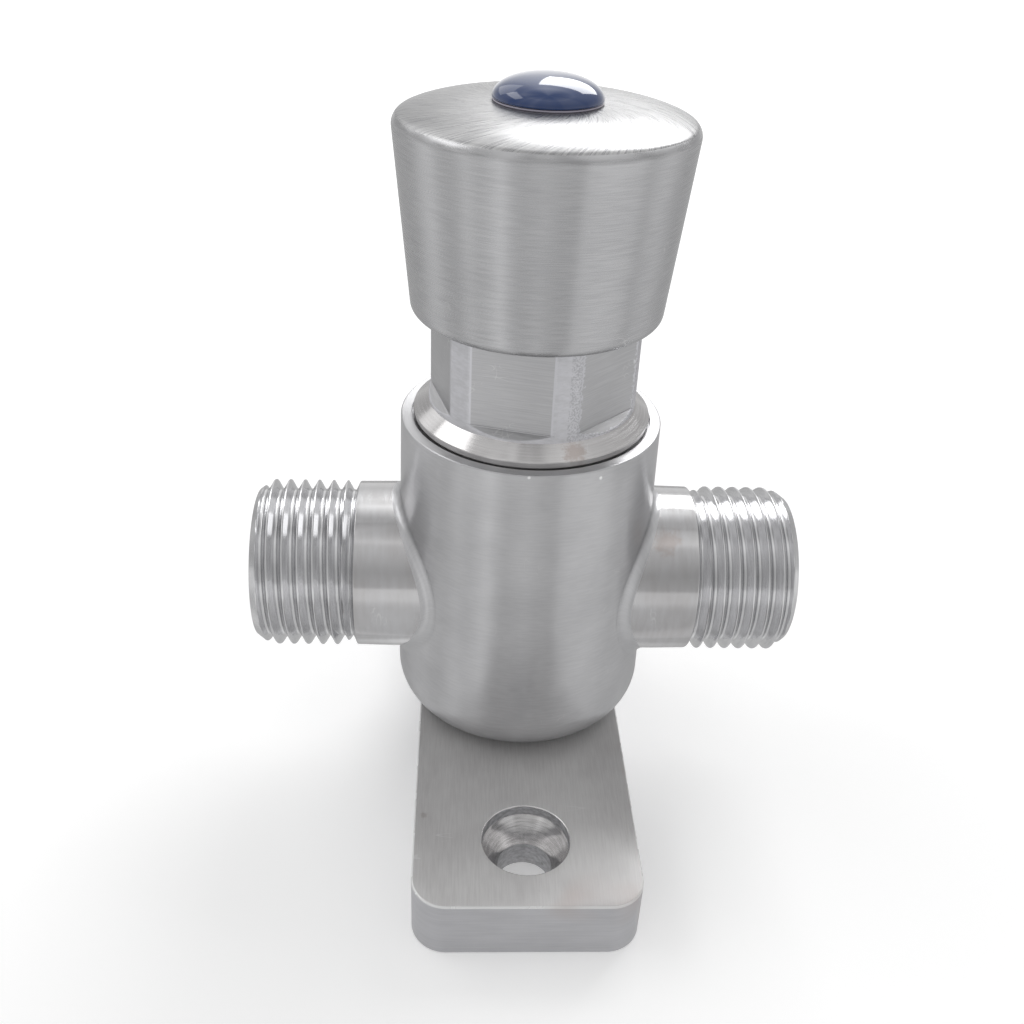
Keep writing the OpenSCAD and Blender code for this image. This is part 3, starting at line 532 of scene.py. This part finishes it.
bodySteel = steel("bodySteel", bodyLook)
skirtSteel = steel("skirtSteel", turnedLook)
crownSteel = steel("crownSteel", crownLook)
coneSteel = steel("coneSteel", coneLook)
flatSteel = steel("flatSteel", flatLook)
barSteel = steel("barSteel", barLook)
collarSteel = steel("collarSteel", collarLook, portVector, "X")
threadSteel = steel("threadSteel", threadLook, portVector, "X")
plateSteel = steel("plateSteel", plateLook, tangentAxis="Y")
edgeHighlightSteel = steel("edgeHighlightSteel", edgeHighlightLook, tangentAxis="Y")
endSteel = steel("endSteel", endLook)
sinkSteel = steel("sinkSteel", sinkLook, holeVector)
drilledShadeSteel = steel("drilledShadeSteel", drilledShadeLook, holeVector)

# one finish for each material slot of the record
finishes = {
    "plate_steel": plateSteel, "body_steel": bodySteel, "bonnet_steel": coneSteel,
    "thread_steel": threadSteel, "weld_steel": bodySteel, "cap_steel": skirtSteel,
    "screw_steel": plainFinish("screwSteel", (0.42, 0.42, 0.43), 1.0, 0.3),
    "spring_steel": plainFinish("springSteel", (0.4, 0.4, 0.42), 1.0, 0.25),
    "mesh_steel": plainFinish("strainerSteel", (0.42, 0.42, 0.42), 1.0, 0.35),
    "seat_bronze": plainFinish("seatBronze", (0.5, 0.36, 0.17), 1.0, 0.28),
    "spindle_steel": plainFinish("spindleSteel", (0.5, 0.5, 0.5), 1.0, 0.15),
    "guide_plastic": plainFinish("guidePlastic", (0.78, 0.74, 0.64), 0.0, 0.45),
    "seal_rubber": plainFinish("sealRubber", (0.035, 0.035, 0.035), 0.0, 0.6),
    "index_blue": plainFinish("indexBlue", (0.003, 0.04, 0.18), 0.0, 0.06, coat=1.0, ior=1.5)}
indexRingFinish = plainFinish("indexRing", (0.5, 0.47, 0.56), 0.0, 0.25, coat=0.5)

slotOf = {part["node"]: part["material_slot"] for part in frame["record"]["subparts"]}
for nodeName, node in frame["nodes"].items():
    for slot in node.material_slots:
        slot.material = finishes[slotOf[nodeName]]
print("materials set on", len(frame["nodes"]), "nodes")


# push cap and index dome

capShape = {
    "footZ": 61.2, "footR": 14.1, "footRound": 1.1, "rimR": 16.08, "rimZ": 81.95, "rimRound": 1.4,
    "crownZ": 83.6, "crownR": 5.9, "crownPower": 3.0, "crownSteps": 24, "rimSteps": 3, "crownSteelZ": 82.08,
    "recessR": 5.25, "recessZ": 80.6, "holeR": 2.0, "spindleR": 3.05, "spindleZ": 79.45,
    "bossR": 9.0, "bossZ": 77.05, "bossRound": 0.3, "roofZ": 78.4, "roofRound": 0.4,
    "boreR": 12.75, "boreRound": 0.25, "arcStep": 6.0, "longest": 0.9, "columns": 240}


def makeCap(shape):
    cap = SimpleNamespace(**shape)
    # the crown falls from the index to the rim by a power of the way across, and the rim's
    # arc takes the place of its outermost steps
    way = np.linspace(1, 0, cap.crownSteps + 1)[cap.rimSteps:]
    crown = np.stack([cap.crownR + (cap.rimR - cap.crownR) * way,
                      cap.crownZ - (cap.crownZ - cap.rimZ) * way ** cap.crownPower], 1)
    corners = [
        (cap.boreR, cap.footZ, cap.boreRound), (cap.footR, cap.footZ, cap.footRound),
        (cap.rimR, cap.rimZ, cap.rimRound), *crown.tolist(), (cap.recessR, cap.crownZ),
        (cap.recessR, cap.recessZ), (cap.holeR, cap.recessZ), (cap.holeR, cap.spindleZ),
        (cap.spindleR, cap.spindleZ), (cap.spindleR, cap.bossZ), (cap.bossR, cap.bossZ, cap.bossRound),
        (cap.bossR, cap.roofZ), (cap.boreR, cap.roofZ, cap.roofRound)]
    profile = subdivided(roundedProfile(corners, arcStep=cap.arcStep), cap.longest)

    def zones(middle):
        return middle[:, 2] > cap.crownSteelZ

    gridPiece("pushCap", [turnedGrid(profile, cap.columns)], [skirtSteel, crownSteel], "button",
              ["push_cap"], sharpAngle=60, zones=zones)


# ledge and bevel are the dome's lower edge, in from its foot and down from the ring's top
domeShape = {
    "footZ": 83.6, "footR": 5.78, "ringTop": 83.95, "apexZ": 86.3, "power": 0.86, "heightPower": 1.05,
    "ledge": (0.25, 0.15), "bevel": (0.05, 0.06), "spigotR": 5.2, "spigotZ": 83.05, "seam": 0.01,
    "ringIn": (0.02, 0.08), "ringRound": (0.08, 0.06), "rows": 40, "columns": 128}


# a flattened dome over its pale foot: r = R cos^0.86 a, z = ring's top + height sin^1.05 a
def makeDome(shape):
    dome = SimpleNamespace(**shape)
    angle = np.linspace(0, np.pi / 2, dome.rows)
    r = dome.footR * np.cos(angle) ** dome.power
    z = dome.ringTop + (dome.apexZ - dome.ringTop) * np.sin(angle) ** dome.heightPower
    r[-1], z[-1] = 0.0, dome.apexZ
    under = dome.ringTop - dome.ledge[1]
    edge = [[0, under], [dome.footR - dome.ledge[0], under],
            [dome.footR - dome.bevel[0], dome.ringTop - dome.bevel[1]]]
    profile = np.concatenate([edge, np.stack([r, z], 1)])
    gridPiece("indexDome", [turnedGrid(profile, dome.columns, wrapRows=False)], [finishes["index_blue"]],
              "button", ["index_dome"])
    low = dome.footZ + dome.seam
    ring = roundedProfile([
        (0, dome.spigotZ), (dome.spigotR, dome.spigotZ), (dome.spigotR, low),
        (dome.footR - dome.ringIn[0], low, dome.ringRound[0]),
        (dome.footR - dome.ringIn[1], under, dome.ringRound[1]), (0, under)], closed=False)
    gridPiece("indexFoot", [turnedGrid(ring, dome.columns, wrapRows=False)], [indexRingFinish], "button")


makeCap(capShape)
makeDome(domeShape)


# bonnet: turned flange and cone, round bar with six milled flats

# columns crowd near the edges between the flats and the strips of round bar left between
# them, at these degrees from an edge, and rows crowd where the flats run out
bonnetShape = {
    "turn": 14.6, "flat": 11.07, "barR": 12.1, "footZ": 51.27, "slope": 0.7, "slopeBlend": 0.03,
    "groove": 0.05, "grooveWidth": 0.06, "edge": 0.05, "rawDepth": 0.09, "margin": 0.1,
    "flangeR": 13.86, "flangeZ": 47.7, "flangeRound": 0.12, "coneZ": 49.1, "coneTopZ": 50.45,
    "hexTopZ": 65.0, "hexChamfer": 0.35, "barZ": (53.0, 51.6), "neckR": 9.5, "neckZ": 69.3, "tailR": 12.0,
    "tailZ": 38.3, "boreR": 9.0, "roofZ": 61.0, "glandR": 7.03, "glandZ": 62.5, "stemR": 5.53, "sides": 6,
 "near": (-1.3, -0.8, -0.45, -0.22, -0.1, 0.0, 0.1, 0.22, 0.45, 0.8, 1.3), "nearGap": 2.0,
    "flatColumns": 52, "stripColumns": 5, "footRows": (51.55, 50.5, 22), "barStep": 1.2, "coneStep": 0.07}


def makeBonnet(shape):
    bonnet = SimpleNamespace(**shape)
    sector = 360 / bonnet.sides
    edgeAt = math.degrees(math.acos(bonnet.flat / bonnet.barR))
    near = np.array(bonnet.near)
    onFlat = np.linspace(-edgeAt + bonnet.nearGap, edgeAt - bonnet.nearGap, bonnet.flatColumns)
    onStrip = np.linspace(edgeAt + bonnet.nearGap, sector - edgeAt - bonnet.nearGap, bonnet.stripColumns)
    columns = np.sort(np.concatenate([onFlat, onStrip, -edgeAt + near, edgeAt + near]))
    degrees = np.concatenate([columns + sector * k for k in range(bonnet.sides)]) + bonnet.turn
    angle = np.radians(degrees)[None, :]
    fromFlat = np.radians((degrees - bonnet.turn + sector / 2) % sector - sector / 2)[None, :]

    upper = openProfile([
        (bonnet.neckR, bonnet.neckZ), (bonnet.neckR, bonnet.hexTopZ),
        (bonnet.barR - bonnet.hexChamfer, bonnet.hexTopZ), (bonnet.barR, bonnet.hexTopZ - bonnet.hexChamfer),
        *[(bonnet.barR, z) for z in bonnet.barZ]], bonnet.barStep)
    footRows = np.linspace(*bonnet.footRows)
    barFoot = np.stack([np.full_like(footRows, bonnet.barR), footRows], 1)
    cone = openProfile([
        (bonnet.barR, bonnet.coneTopZ), (bonnet.flangeR, bonnet.coneZ, bonnet.flangeRound),
        (bonnet.flangeR, bonnet.flangeZ)], bonnet.coneStep)
    inside = np.array([
        (bonnet.tailR, bonnet.flangeZ), (bonnet.tailR, bonnet.tailZ), (bonnet.boreR, bonnet.tailZ),
        (bonnet.boreR, bonnet.roofZ), (bonnet.glandR, bonnet.roofZ), (bonnet.glandR, bonnet.glandZ),
        (bonnet.stemR, bonnet.glandZ), (bonnet.stemR, bonnet.neckZ)])
    outside = np.concatenate([upper, barFoot, cone])
    radius, height = outside[:, :1], outside[:, 1:]
    # a flat lies at its distance from the axis above its foot, and slopes outwards below it
    below = smoothMax(bonnet.footZ - height, 0.0, bonnet.slopeBlend) - bonnet.slopeBlend / 2
    distance = bonnet.flat + np.maximum(below, 0) / bonnet.slope
    distance -= bonnet.groove * np.exp(-(((height - bonnet.footZ) / bonnet.grooveWidth) ** 2))
    milled = np.minimum(smoothMin(radius, distance / np.cos(fromFlat), bonnet.edge), radius)
    r = np.where(height <= bonnet.hexTopZ, milled, radius)
    r = np.concatenate([r, inside[:, :1] + 0 * angle])
    points = roundPoints(r, angle, np.concatenate([height, inside[:, 1:]]))

    # 0 turned cone, flange and neck, 1 milled flats, 2 strips of the raw round bar
    def zones(middle):
        reach, z = np.hypot(middle[:, 0], middle[:, 1]), middle[:, 2]
        onHex = (z > bonnet.coneTopZ) & (z < bonnet.hexTopZ - bonnet.margin)
        onHex &= reach > bonnet.flat - bonnet.margin
        return np.where(onHex, np.where(reach > bonnet.barR - bonnet.rawDepth, 2, 1), 0)

    gridPiece("bonnetBody", [wrapped(points)], [coneSteel, flatSteel, barSteel], "valve",
              ["bonnet"], sharpAngle=50, zones=zones)


makeBonnet(bonnetShape)


# ports: nipple with a real helical thread, and the dressed weld

portShape = {
    "axisZ": shared["portAxisZ"], "reach": 33.3, "columns": 176, "rowStep": 0.062,
    "pitch": 1.8143, "crestR": 10.478, "rootR": 9.318, "flankRise": 1.34, "flankDrop": 0.25,
    "rootBlend": 0.1, "crestBlend": 0.03, "phases": {1: 0.77, -1: 0.46}, "runOutSlope": 1.5,
    "runOutGap": 0.15, "runOutBlend": 0.08, "endR": 9.3, "endSlope": 0.75, "endBlend": 0.04,
    "endBack": 0.02, "endEdge": 0.1, "collarR": 10.42, "collarDraft": 0.08, "collarFrom": 16.5,
    "collarEnd": 20.8, "collarRound": 0.16, "collarStep": 0.5, "sunk": 0.6, "barrelR": 15.72,
    "reliefEnd": 21.35, "reliefRise": 0.02, "reliefBack": 0.05, "reliefRound": 0.15, "seam": 0.01,
    "threadFrom": 20.95, "boreR": 7.0, "boreFrom": 22.0, "boreChamfer": 0.35, "boreRound": 0.1,
    "boreStep": 1.5, "seatR": 6.6, "seatFrom": 21.0, "innerR": 6.2, "spigotR": 8.6, "spigotFrom": 12.2,
    "spigotLength": 1.5}


def makePort(name, side, node, shape):
    port = SimpleNamespace(**shape)
    angle = fullTurn(port.columns)[None, :]
    # thread: the radius rises and falls once a pitch along a right-hand helix, with straight
    # flanks and rounded crests and roots, under a chamfer at the end and a run-out at the relief
    x = np.arange(port.reliefEnd, port.reach - port.seam, port.rowStep)[:, None]
    turn = side * x / port.pitch - angle / (2 * np.pi) - port.phases[side]
    wave = np.abs((turn % 1.0) * 2 - 1)
    flank = port.rootR + (port.crestR - port.rootR) * (wave * port.flankRise - port.flankDrop)
    thread = smoothMin(smoothMax(flank, port.rootR, port.rootBlend), port.crestR, port.crestBlend)
    thread = smoothMin(thread, port.endR + port.endSlope * (port.reach - x), port.endBlend)
    runOut = port.rootR + port.runOutSlope * (x - port.reliefEnd - port.runOutGap)
    runOut = smoothMax(runOut, port.rootR, port.rootBlend)
    thread = np.minimum(smoothMin(thread, runOut, port.runOutBlend), port.crestR)
    end = openProfile([
        (port.endR, port.reach - port.endBack), (port.endR - port.endEdge, port.reach),
        (port.boreR + port.boreChamfer, port.reach, port.boreRound),
        (port.boreR, port.reach - port.boreChamfer, port.boreRound), (port.boreR, port.boreFrom),
        (port.seatR, port.boreFrom), (port.seatR, port.seatFrom), (port.innerR, port.seatFrom),
        (port.innerR, port.spigotFrom), (port.spigotR, port.spigotFrom),
        (port.spigotR, port.spigotFrom + port.spigotLength)], port.boreStep)
    # the collar starts inside the barrel, on the saddle moved inwards
    saddle = np.sqrt(port.barrelR ** 2 - (port.collarR * np.cos(angle)) ** 2) - port.sunk
    collarIn = port.collarR + port.collarDraft
    collar = openProfile([
        (collarIn, port.collarFrom), (port.collarR, port.collarEnd, port.collarRound),
        (port.rootR + port.reliefRise, port.reliefEnd - port.reliefBack, port.reliefRound),
        (port.rootR, port.reliefEnd - port.seam)], port.collarStep)
    level = np.ones_like(angle)
    along = np.concatenate([saddle, *[part * level for part in (collar[:, 1:], x, end[:, 1:])]])
    r = np.concatenate([collarIn * level, collar[:, :1] * level, thread, end[:, :1] * level])
    points = np.stack([side * along, r * np.cos(angle), port.axisZ + r * np.sin(angle)], -1)

    def zones(middle):
        return np.abs(middle[:, 0]) > port.threadFrom

    gridPiece(name, [wrapped(points)], [collarSteel, threadSteel], "valve", [node],
              sharpAngle=60, zones=zones)


# radius and height of the barrel at its foot and at its rim
barrelShape = {"footR": 16.0, "footZ": 7.7, "rimR": 15.35, "rimZ": 48.3}
weldShape = {"ball": 1.1, "spread": 1.6, "spreadPower": 4, "hidden": 0.35, "rows": 15, "columns": 176}


# rolling-ball blend between collar and barrel: the ball's centre keeps its radius from both
# cylinders, and the arc between its two touching points is swept round the collar
def makeWelds(shape, port, barrel):
    around = fullTurn(shape["columns"])[None, :]
    # the dressed weld is broad at the sides of the collar and tight above and below it
    ball = shape["ball"] + shape["spread"] * np.cos(around) ** shape["spreadPower"]
    reach = port["collarR"] + port["collarDraft"] + ball
    y, z = reach * np.cos(around), reach * np.sin(around)
    # the barrel narrows evenly from the plate to its rim
    slope = (barrel["rimR"] - barrel["footR"]) / (barrel["rimZ"] - barrel["footZ"])
    toAxis = barrel["footR"] + slope * (port["axisZ"] + z - barrel["footZ"]) + ball
    x = np.sqrt(toAxis ** 2 - y ** 2)
    centre = np.stack([x, y, z], -1)
    toCollar = np.stack([0 * x, -np.cos(around), -np.sin(around)], -1)
    toBarrel = np.stack([-x / toAxis, -y / toAxis, 0 * x], -1)
    ball = ball[..., None]
    span = np.arccos(np.sum(toCollar * toBarrel, -1, keepdims=True))
    share = np.linspace(0, 1, shape["rows"])[:, None, None]
    way = (np.sin((1 - share) * span) * toCollar + np.sin(share * span) * toBarrel) / np.sin(span)
    hidden = centre + (toCollar + toBarrel) * (shape["hidden"] + ball / (1 + np.cos(span)))
    blend = np.concatenate([centre + ball * way, hidden])
    grids = [wrapped(blend * np.array([side, 1, 1]) + np.array([0, 0, port["axisZ"]])) for side in (-1, 1)]
    gridPiece("portBlends", grids, [bodySteel], "valve", ["port_welds"], sharpAngle=50)


makePort("inletNipple", 1, "inlet_nipple", portShape)
makePort("outletNipple", -1, "outlet_nipple", portShape)
makeWelds(weldShape, portShape, barrelShape)


# return spring

springShape = {
    "middleR": 5.2, "wireR": 0.52, "seatZ": 41.0, "seatGap": 0.05, "topZ": 54.13, "washerZ": 54.2,
    "washerGap": 0.03, "travel": 7.0, "turns": 5, "perTurn": 44, "sides": 14}


# a round wire swept up a helix: the middle line is (R cos a, R sin a, z) with z rising evenly,
# and the wire's circle stands on the radius and the upright; both ends close in a point
def makeSpring(shape):
    spring = SimpleNamespace(**shape)
    steps = spring.turns * spring.perTurn
    turn = np.concatenate([[0], np.arange(steps + 1), [steps]])[:, None] / spring.perTurn
    wire = np.full_like(turn, spring.wireR)
    wire[0] = wire[-1] = 0.0
    around = fullTurn(spring.sides)[None, :]
    low = spring.seatZ + spring.seatGap + spring.wireR
    high = spring.topZ - spring.wireR
    r = spring.middleR + wire * np.cos(around)
    z = low + (high - low) * turn / spring.turns + wire * np.sin(around)
    grid = wrapped(roundPoints(r, 2 * np.pi * turn, z), wrapRows=False)
    piece = gridPiece("returnSpring", [grid], [finishes["spring_steel"]], "valve",
                      ["return_spring"])
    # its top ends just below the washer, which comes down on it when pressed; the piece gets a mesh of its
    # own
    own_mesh(piece)


makeSpring(springShape)


# base plate

plateShape = {
    "width": 26.0, "length": 77.0, "thickness": 7.7, "cornerR": 4.0, "edge": 0.24, "edgeRows": 6,
    "holeY": shared["fixingHoleY"], "holeR": 3.15, "holeFlare": 0.12, "holeRound": 0.08, "underRing": 0.6,
    "sinkR": 5.1, "sinkSlope": 1.55, "sinkRound": 0.1, "lip": 1.3, "lipRound": 0.12, "ring": 1.2,
    "margin": 0.1, "wallMargin": 0.02, "flatMargin": 0.01, "wallStep": 0.35, "arcStep": 15,
    "between": (0.25, 0.5, 0.75), "columns": 320}


# each half is rings round its fixing hole, from the hole's wall out over the top, down the
# sides and back along the underside; the rear half is the front one mirrored
def makePlate(shape):
    plate = SimpleNamespace(**shape)
    halfW, halfL = plate.width / 2, plate.length / 2
    corners = [math.atan2(plate.holeY, x) for x in (-halfW, halfW)]
    angle = np.sort(np.concatenate([fullTurn(plate.columns), corners]))
    dx, dy = np.cos(angle), np.sin(angle)

    # distance from the front hole's middle to the front half's outline, moved in by inset:
    # the nearest of the two sides, the front end, the joint line y = 0 and the corner arcs
    def outline(inset):
        tiny, far = 1e-9, 1e9
        toSide = (halfW - inset) / np.maximum(np.abs(dx), tiny)
        toFront = np.where(dy < 0, (halfL - plate.holeY - inset) / np.maximum(-dy, tiny), far)
        toJoint = np.where(dy > 0, plate.holeY / np.maximum(dy, tiny), far)
        t = np.minimum(np.minimum(toSide, toFront), toJoint)
        cx, cy = halfW - plate.cornerR, -(halfL - plate.cornerR - plate.holeY)
        inCorner = (np.abs(dx) * t > cx) & (dy * t < cy)
        b = np.abs(dx) * cx + dy * cy
        root = np.maximum(b * b - (cx * cx + cy * cy - (plate.cornerR - inset) ** 2), 0)
        return np.where(inCorner, b + np.sqrt(root), t)

    onJoint = outline(0.0) * dy > plate.holeY - 1e-6
    top, lipZ = plate.thickness, plate.thickness - plate.lip
    holeTop = lipZ - (plate.sinkR - plate.holeR) * plate.sinkSlope
    inner = plate.sinkR + plate.ring
    wall = roundedProfile([
        (plate.holeR, 0.0), (plate.holeR, holeTop, plate.holeRound), (plate.sinkR, lipZ, plate.sinkRound),
        (plate.sinkR, top, plate.lipRound), (inner, top)], closed=False, arcStep=plate.arcStep)
    wall[0, 0] += plate.holeFlare
    rings = [(r + 0 * angle, z) for r, z in subdivided(wall, plate.wallStep, closed=False)]
    rings += [(inner + (outline(plate.edge) - inner) * share, top) for share in plate.between]
    arc = np.linspace(0, np.pi / 2, plate.edgeRows)
    rings += [(outline(plate.edge * (1 - math.sin(a))), top - plate.edge * (1 - math.cos(a))) for a in arc]
    rings += [(outline(0.0), top * (1 - share)) for share in plate.between]
    rings += [(outline(plate.edge * (1 - math.cos(a))), plate.edge * (1 - math.sin(a))) for a in arc]
    rings.append((plate.holeR + plate.underRing + 0 * angle, 0.0))
    reach, height = np.array([ring for ring, z in rings]), np.array([z for ring, z in rings])

    # faces between two neighbouring joint columns are dropped on the side wall only
    onSide = (height < top - 1e-6) & (height > 1e-6) & (reach.min(axis=1) > plate.sinkR + 1.0)
    keep = np.ones(reach.shape, bool)
    keep[np.ix_(onSide | np.roll(onSide, -1), onJoint & np.roll(onJoint, -1))] = False
    y = np.where(onJoint & (reach * dy > plate.holeY - 0.5), 0.0, reach * dy - plate.holeY)
    points = np.stack([reach * dx, y, height[:, None] + 0 * reach], -1)
    uv = np.stack([points[..., 1], points[..., 0] + points[..., 2]], -1) * 0.01
    front = wrapped(points, keep=keep, uv=uv, closed=False)
    back = dict(front, points=points * np.array([1, -1, 1]), uv=uv * np.array([-1, 1]), flip=True)

    # 0 brushed top and bottom, 1 rubbed top edges painted near-white as a highlight, 2 countersinks, 3
    # upright faces, 4 drilled walls painted darker as the shade inside the holes
    def zones(middle):
        z = middle[:, 2]
        fromHole = np.hypot(middle[:, 0], np.abs(middle[:, 1]) - plate.holeY)
        inSink = fromHole < plate.sinkR + plate.margin
        drilled = (z < holeTop) | ((fromHole > plate.sinkR - plate.wallMargin) & (z < top - plate.margin))
        nearTop = (z > top - plate.edge) & (z < top - plate.flatMargin)
        upright = (z > plate.flatMargin) & (z < top - plate.edge)
        return np.select([inSink & drilled, inSink, nearTop, upright], [4, 2, 1, 3], 0)

    gridPiece("basePlate", [front, back], [plateSteel, edgeHighlightSteel, sinkSteel, endSteel, drilledShadeSteel], "valve",
              ["base_plate"], sharpAngle=40, zones=zones)


makePlate(plateShape)


# floor, world, lamps and camera

studio = {
    "floorColour": (0.93, 0.93, 0.93, 1), "floorHalf": 3.0, "floorLift": (0.24, 0.6), "liftSpan": (0.2, 0.9),
    "skyStrength": 0.58,
    # tone of the room that metal mirrors, by the direction round the valve in degrees from the
    # front, rightwards, and by the sine of the height above the horizon
    "roundTones": [
        (-180, 1.55), (-170, 1.35), (-160, 1.0), (-148, 0.8), (-126, 0.74), (-112, 0.9), (-98, 0.88),
        (-88, 0.66), (-76, 0.66), (-64, 0.92), (-54, 0.76), (-44, 0.9), (-36, 1.08), (-28, 0.82),
        (-20, 0.74), (-3, 0.82), (12, 0.72), (24, 0.67), (30, 0.88), (50, 0.92), (72, 0.88), (80, 0.68),
        (92, 0.8), (104, 0.8), (118, 0.76), (134, 0.8), (150, 1.0), (168, 1.4), (180, 1.55)],
    "heightTones": [
        (-1.0, 0.82), (-0.75, 0.86), (-0.5, 0.88), (-0.42, 0.96), (-0.3, 1.15), (-0.05, 1.15), (-0.02, 0.76),
        (0.1, 0.72), (0.34, 0.64), (0.45, 0.68), (0.67, 0.84), (0.83, 0.98), (0.88, 1.2), (0.92, 1.0),
        (0.95, 0.88), (0.985, 0.72), (1.0, 0.7)],
    # the floor that metal mirrors turns this dark between two shares of the way back, and
    # ends where the direction rises to the table's edge
    "backSpan": (0.15, 0.6), "backTone": 0.25, "tableEdge": (-0.12, 0.02),
    "brightest": 1.6, "aim": (0, 0, 0.045),
    "lamps": [
        ("windowPanel", (0.38, 0.84, 0.78), (0.8, 0.56), 5.5),
        ("fillPanel", (-0.5, 0.6, 0.6), (0.5, 0.5), 0.5),
        ("sidePanel", (-0.66, 0.15, 0.76), (0.56, 0.32), 0.9)]}


def mirrorRay(tree, path):
    return mathNode(tree, "MAXIMUM", path["Is Glossy Ray"], path["Is Transmission Ray"])


def mixShader(tree, factor, a, b):
    return addNode(tree, "ShaderNodeMixShader", {0: factor, 1: a, 2: b}).outputs[0]


def makeFloor(settings):
    mesh = bpy.data.meshes.new("floor")
    half = settings["floorHalf"]
    square = [(x * half, y * half, 0) for x, y in ((-1, -1), (1, -1), (1, 1), (-1, 1))]
    mesh.from_pydata(square, [], [(0, 1, 2, 3)])
    floor = bpy.data.objects.new("floor", mesh)
    bpy.context.scene.collection.objects.link(floor)
    material, tree, shader = newMaterial("floorPaper")
    # the camera sees the floor lifted to white, more so away from the valve and out of the
    # lamps' reach, and mirroring metal sees the room through it
    path = tree.nodes.new("ShaderNodeLightPath").outputs
    away = addNode(tree, "ShaderNodeVectorMath", {0: objectVector(tree)}, operation="LENGTH").outputs["Value"]
    lift = rampNode(tree, away, *settings["liftSpan"], *settings["floorLift"])
    feed(tree, shader.inputs, {
        "Base Color": settings["floorColour"], "Roughness": 0.9, "Specular IOR Level": 0.0,
        "Emission Color": (1, 1, 1, 1), "Emission Strength": product(tree, path["Is Camera Ray"], lift)})
    clear = tree.nodes.new("ShaderNodeBsdfTransparent").outputs[0]
    mixed = mixShader(tree, mirrorRay(tree, path), shader.outputs[0], clear)
    tree.links.new(mixed, tree.nodes["Material Output"].inputs["Surface"])
    mesh.materials.append(material)


# a ramp of grey tones, as shares of the brightest, over a number from 0 to 1
def toneRamp(tree, value, stops, brightest):
    node = addNode(tree, "ShaderNodeValToRGB", {"Fac": value})
    node.color_ramp.interpolation = "LINEAR"
    elements = node.color_ramp.elements
    while len(elements) > 1:
        elements.remove(elements[-1])
    elements[0].position = stops[0][0]
    for index, (place, tone) in enumerate(stops):
        element = elements.new(place) if index else elements[0]
        element.color = (tone / brightest,) * 3 + (1,)
    return node.outputs["Color"]


# metal mirrors a room that is white behind the valve and darker in front of it, with upright
# bands, a bright table edge and a pale line high up; a ramp holds no tone above 1, so both
# ramps are stored as shares of the brightest and the strength makes up for it
def makeWorld(settings):
    world = bpy.data.worlds.new("studioWorld")
    bpy.context.scene.world = world
    world.use_nodes = True
    tree = world.node_tree
    tree.nodes.clear()
    output = tree.nodes.new("ShaderNodeOutputWorld")
    path = tree.nodes.new("ShaderNodeLightPath").outputs

    def background(colour, strength):
        return addNode(tree, "ShaderNodeBackground", {"Color": colour, "Strength": strength}).outputs[0]

    x, y, z = separated(tree, tree.nodes.new("ShaderNodeTexCoord").outputs["Generated"])
    angle = mathNode(tree, "ARCTAN2", x, product(tree, y, -1.0))
    turn = mathNode(tree, "ADD", mathNode(tree, "DIVIDE", angle, 2 * math.pi), 0.5)
    level = product(tree, mathNode(tree, "ADD", z, 1.0), 0.5)
    brightest = settings["brightest"]
    around = toneRamp(tree, turn, [(a / 360 + 0.5, tone) for a, tone in settings["roundTones"]], brightest)
    upwards = toneRamp(tree, level, [(h / 2 + 0.5, tone) for h, tone in settings["heightTones"]], brightest)
    tone = mixColour(tree, 1.0, around, upwards, blend="MULTIPLY")
    back = product(tree, rampNode(tree, y, *settings["backSpan"]),
                   rampNode(tree, z, *settings["tableEdge"], 1.0, 0.0))
    tone = mixColour(tree, back, tone, (settings["backTone"],) * 3 + (1,))
    light, white = (background((1, 1, 1, 1), strength) for strength in (settings["skyStrength"], 1.0))
    seen = mixShader(tree, path["Is Camera Ray"], light, white)
    mixed = mixShader(tree, mirrorRay(tree, path), seen, background(tone, brightest ** 2))
    tree.links.new(mixed, output.inputs["Surface"])


def makeLamps(settings):
    for name, place, size, power in settings["lamps"]:
        lamp = bpy.data.lights.new(name, "AREA")
        lamp.shape = "RECTANGLE"
        lamp.size, lamp.size_y = size
        lamp.energy = power
        holder = bpy.data.objects.new(name, lamp)
        bpy.context.scene.collection.objects.link(holder)
        holder.location = place
        aim = Vector(settings["aim"]) - Vector(place)
        holder.rotation_euler = aim.to_track_quat("-Z", "Y").to_euler()


# the camera's place in mm and its axes were fitted to the photograph: right, up and backwards
cameraFit = {
    "place": (-8.6640, -117.7608, 107.4732), "right": (0.99860275, -0.03406497, 0.04039959),
    "up": (-0.01629127, 0.52881052, 0.84858354), "lens": 38.999, "sensor": 36.0, "nearest": 0.005}


def makeCamera(fit):
    data = bpy.data.cameras.new("photoCamera")
    data.lens = fit["lens"]
    data.sensor_width = fit["sensor"]
    data.clip_start = fit["nearest"]
    camera = bpy.data.objects.new("photoCamera", data)
    bpy.context.scene.collection.objects.link(camera)
    right, up = Vector(fit["right"]).normalized(), Vector(fit["up"]).normalized()
    turn = Matrix((right, up, right.cross(up))).transposed().to_4x4()
    camera.matrix_world = Matrix.Translation(Vector(fit["place"]) * mm) @ turn
    bpy.context.scene.camera = camera


makeFloor(studio)
makeWorld(studio)
makeLamps(studio)
makeCamera(cameraFit)
bpy.context.scene.view_settings.view_transform = "Standard"
print("studio and camera set")

bpy.context.view_layer.update()
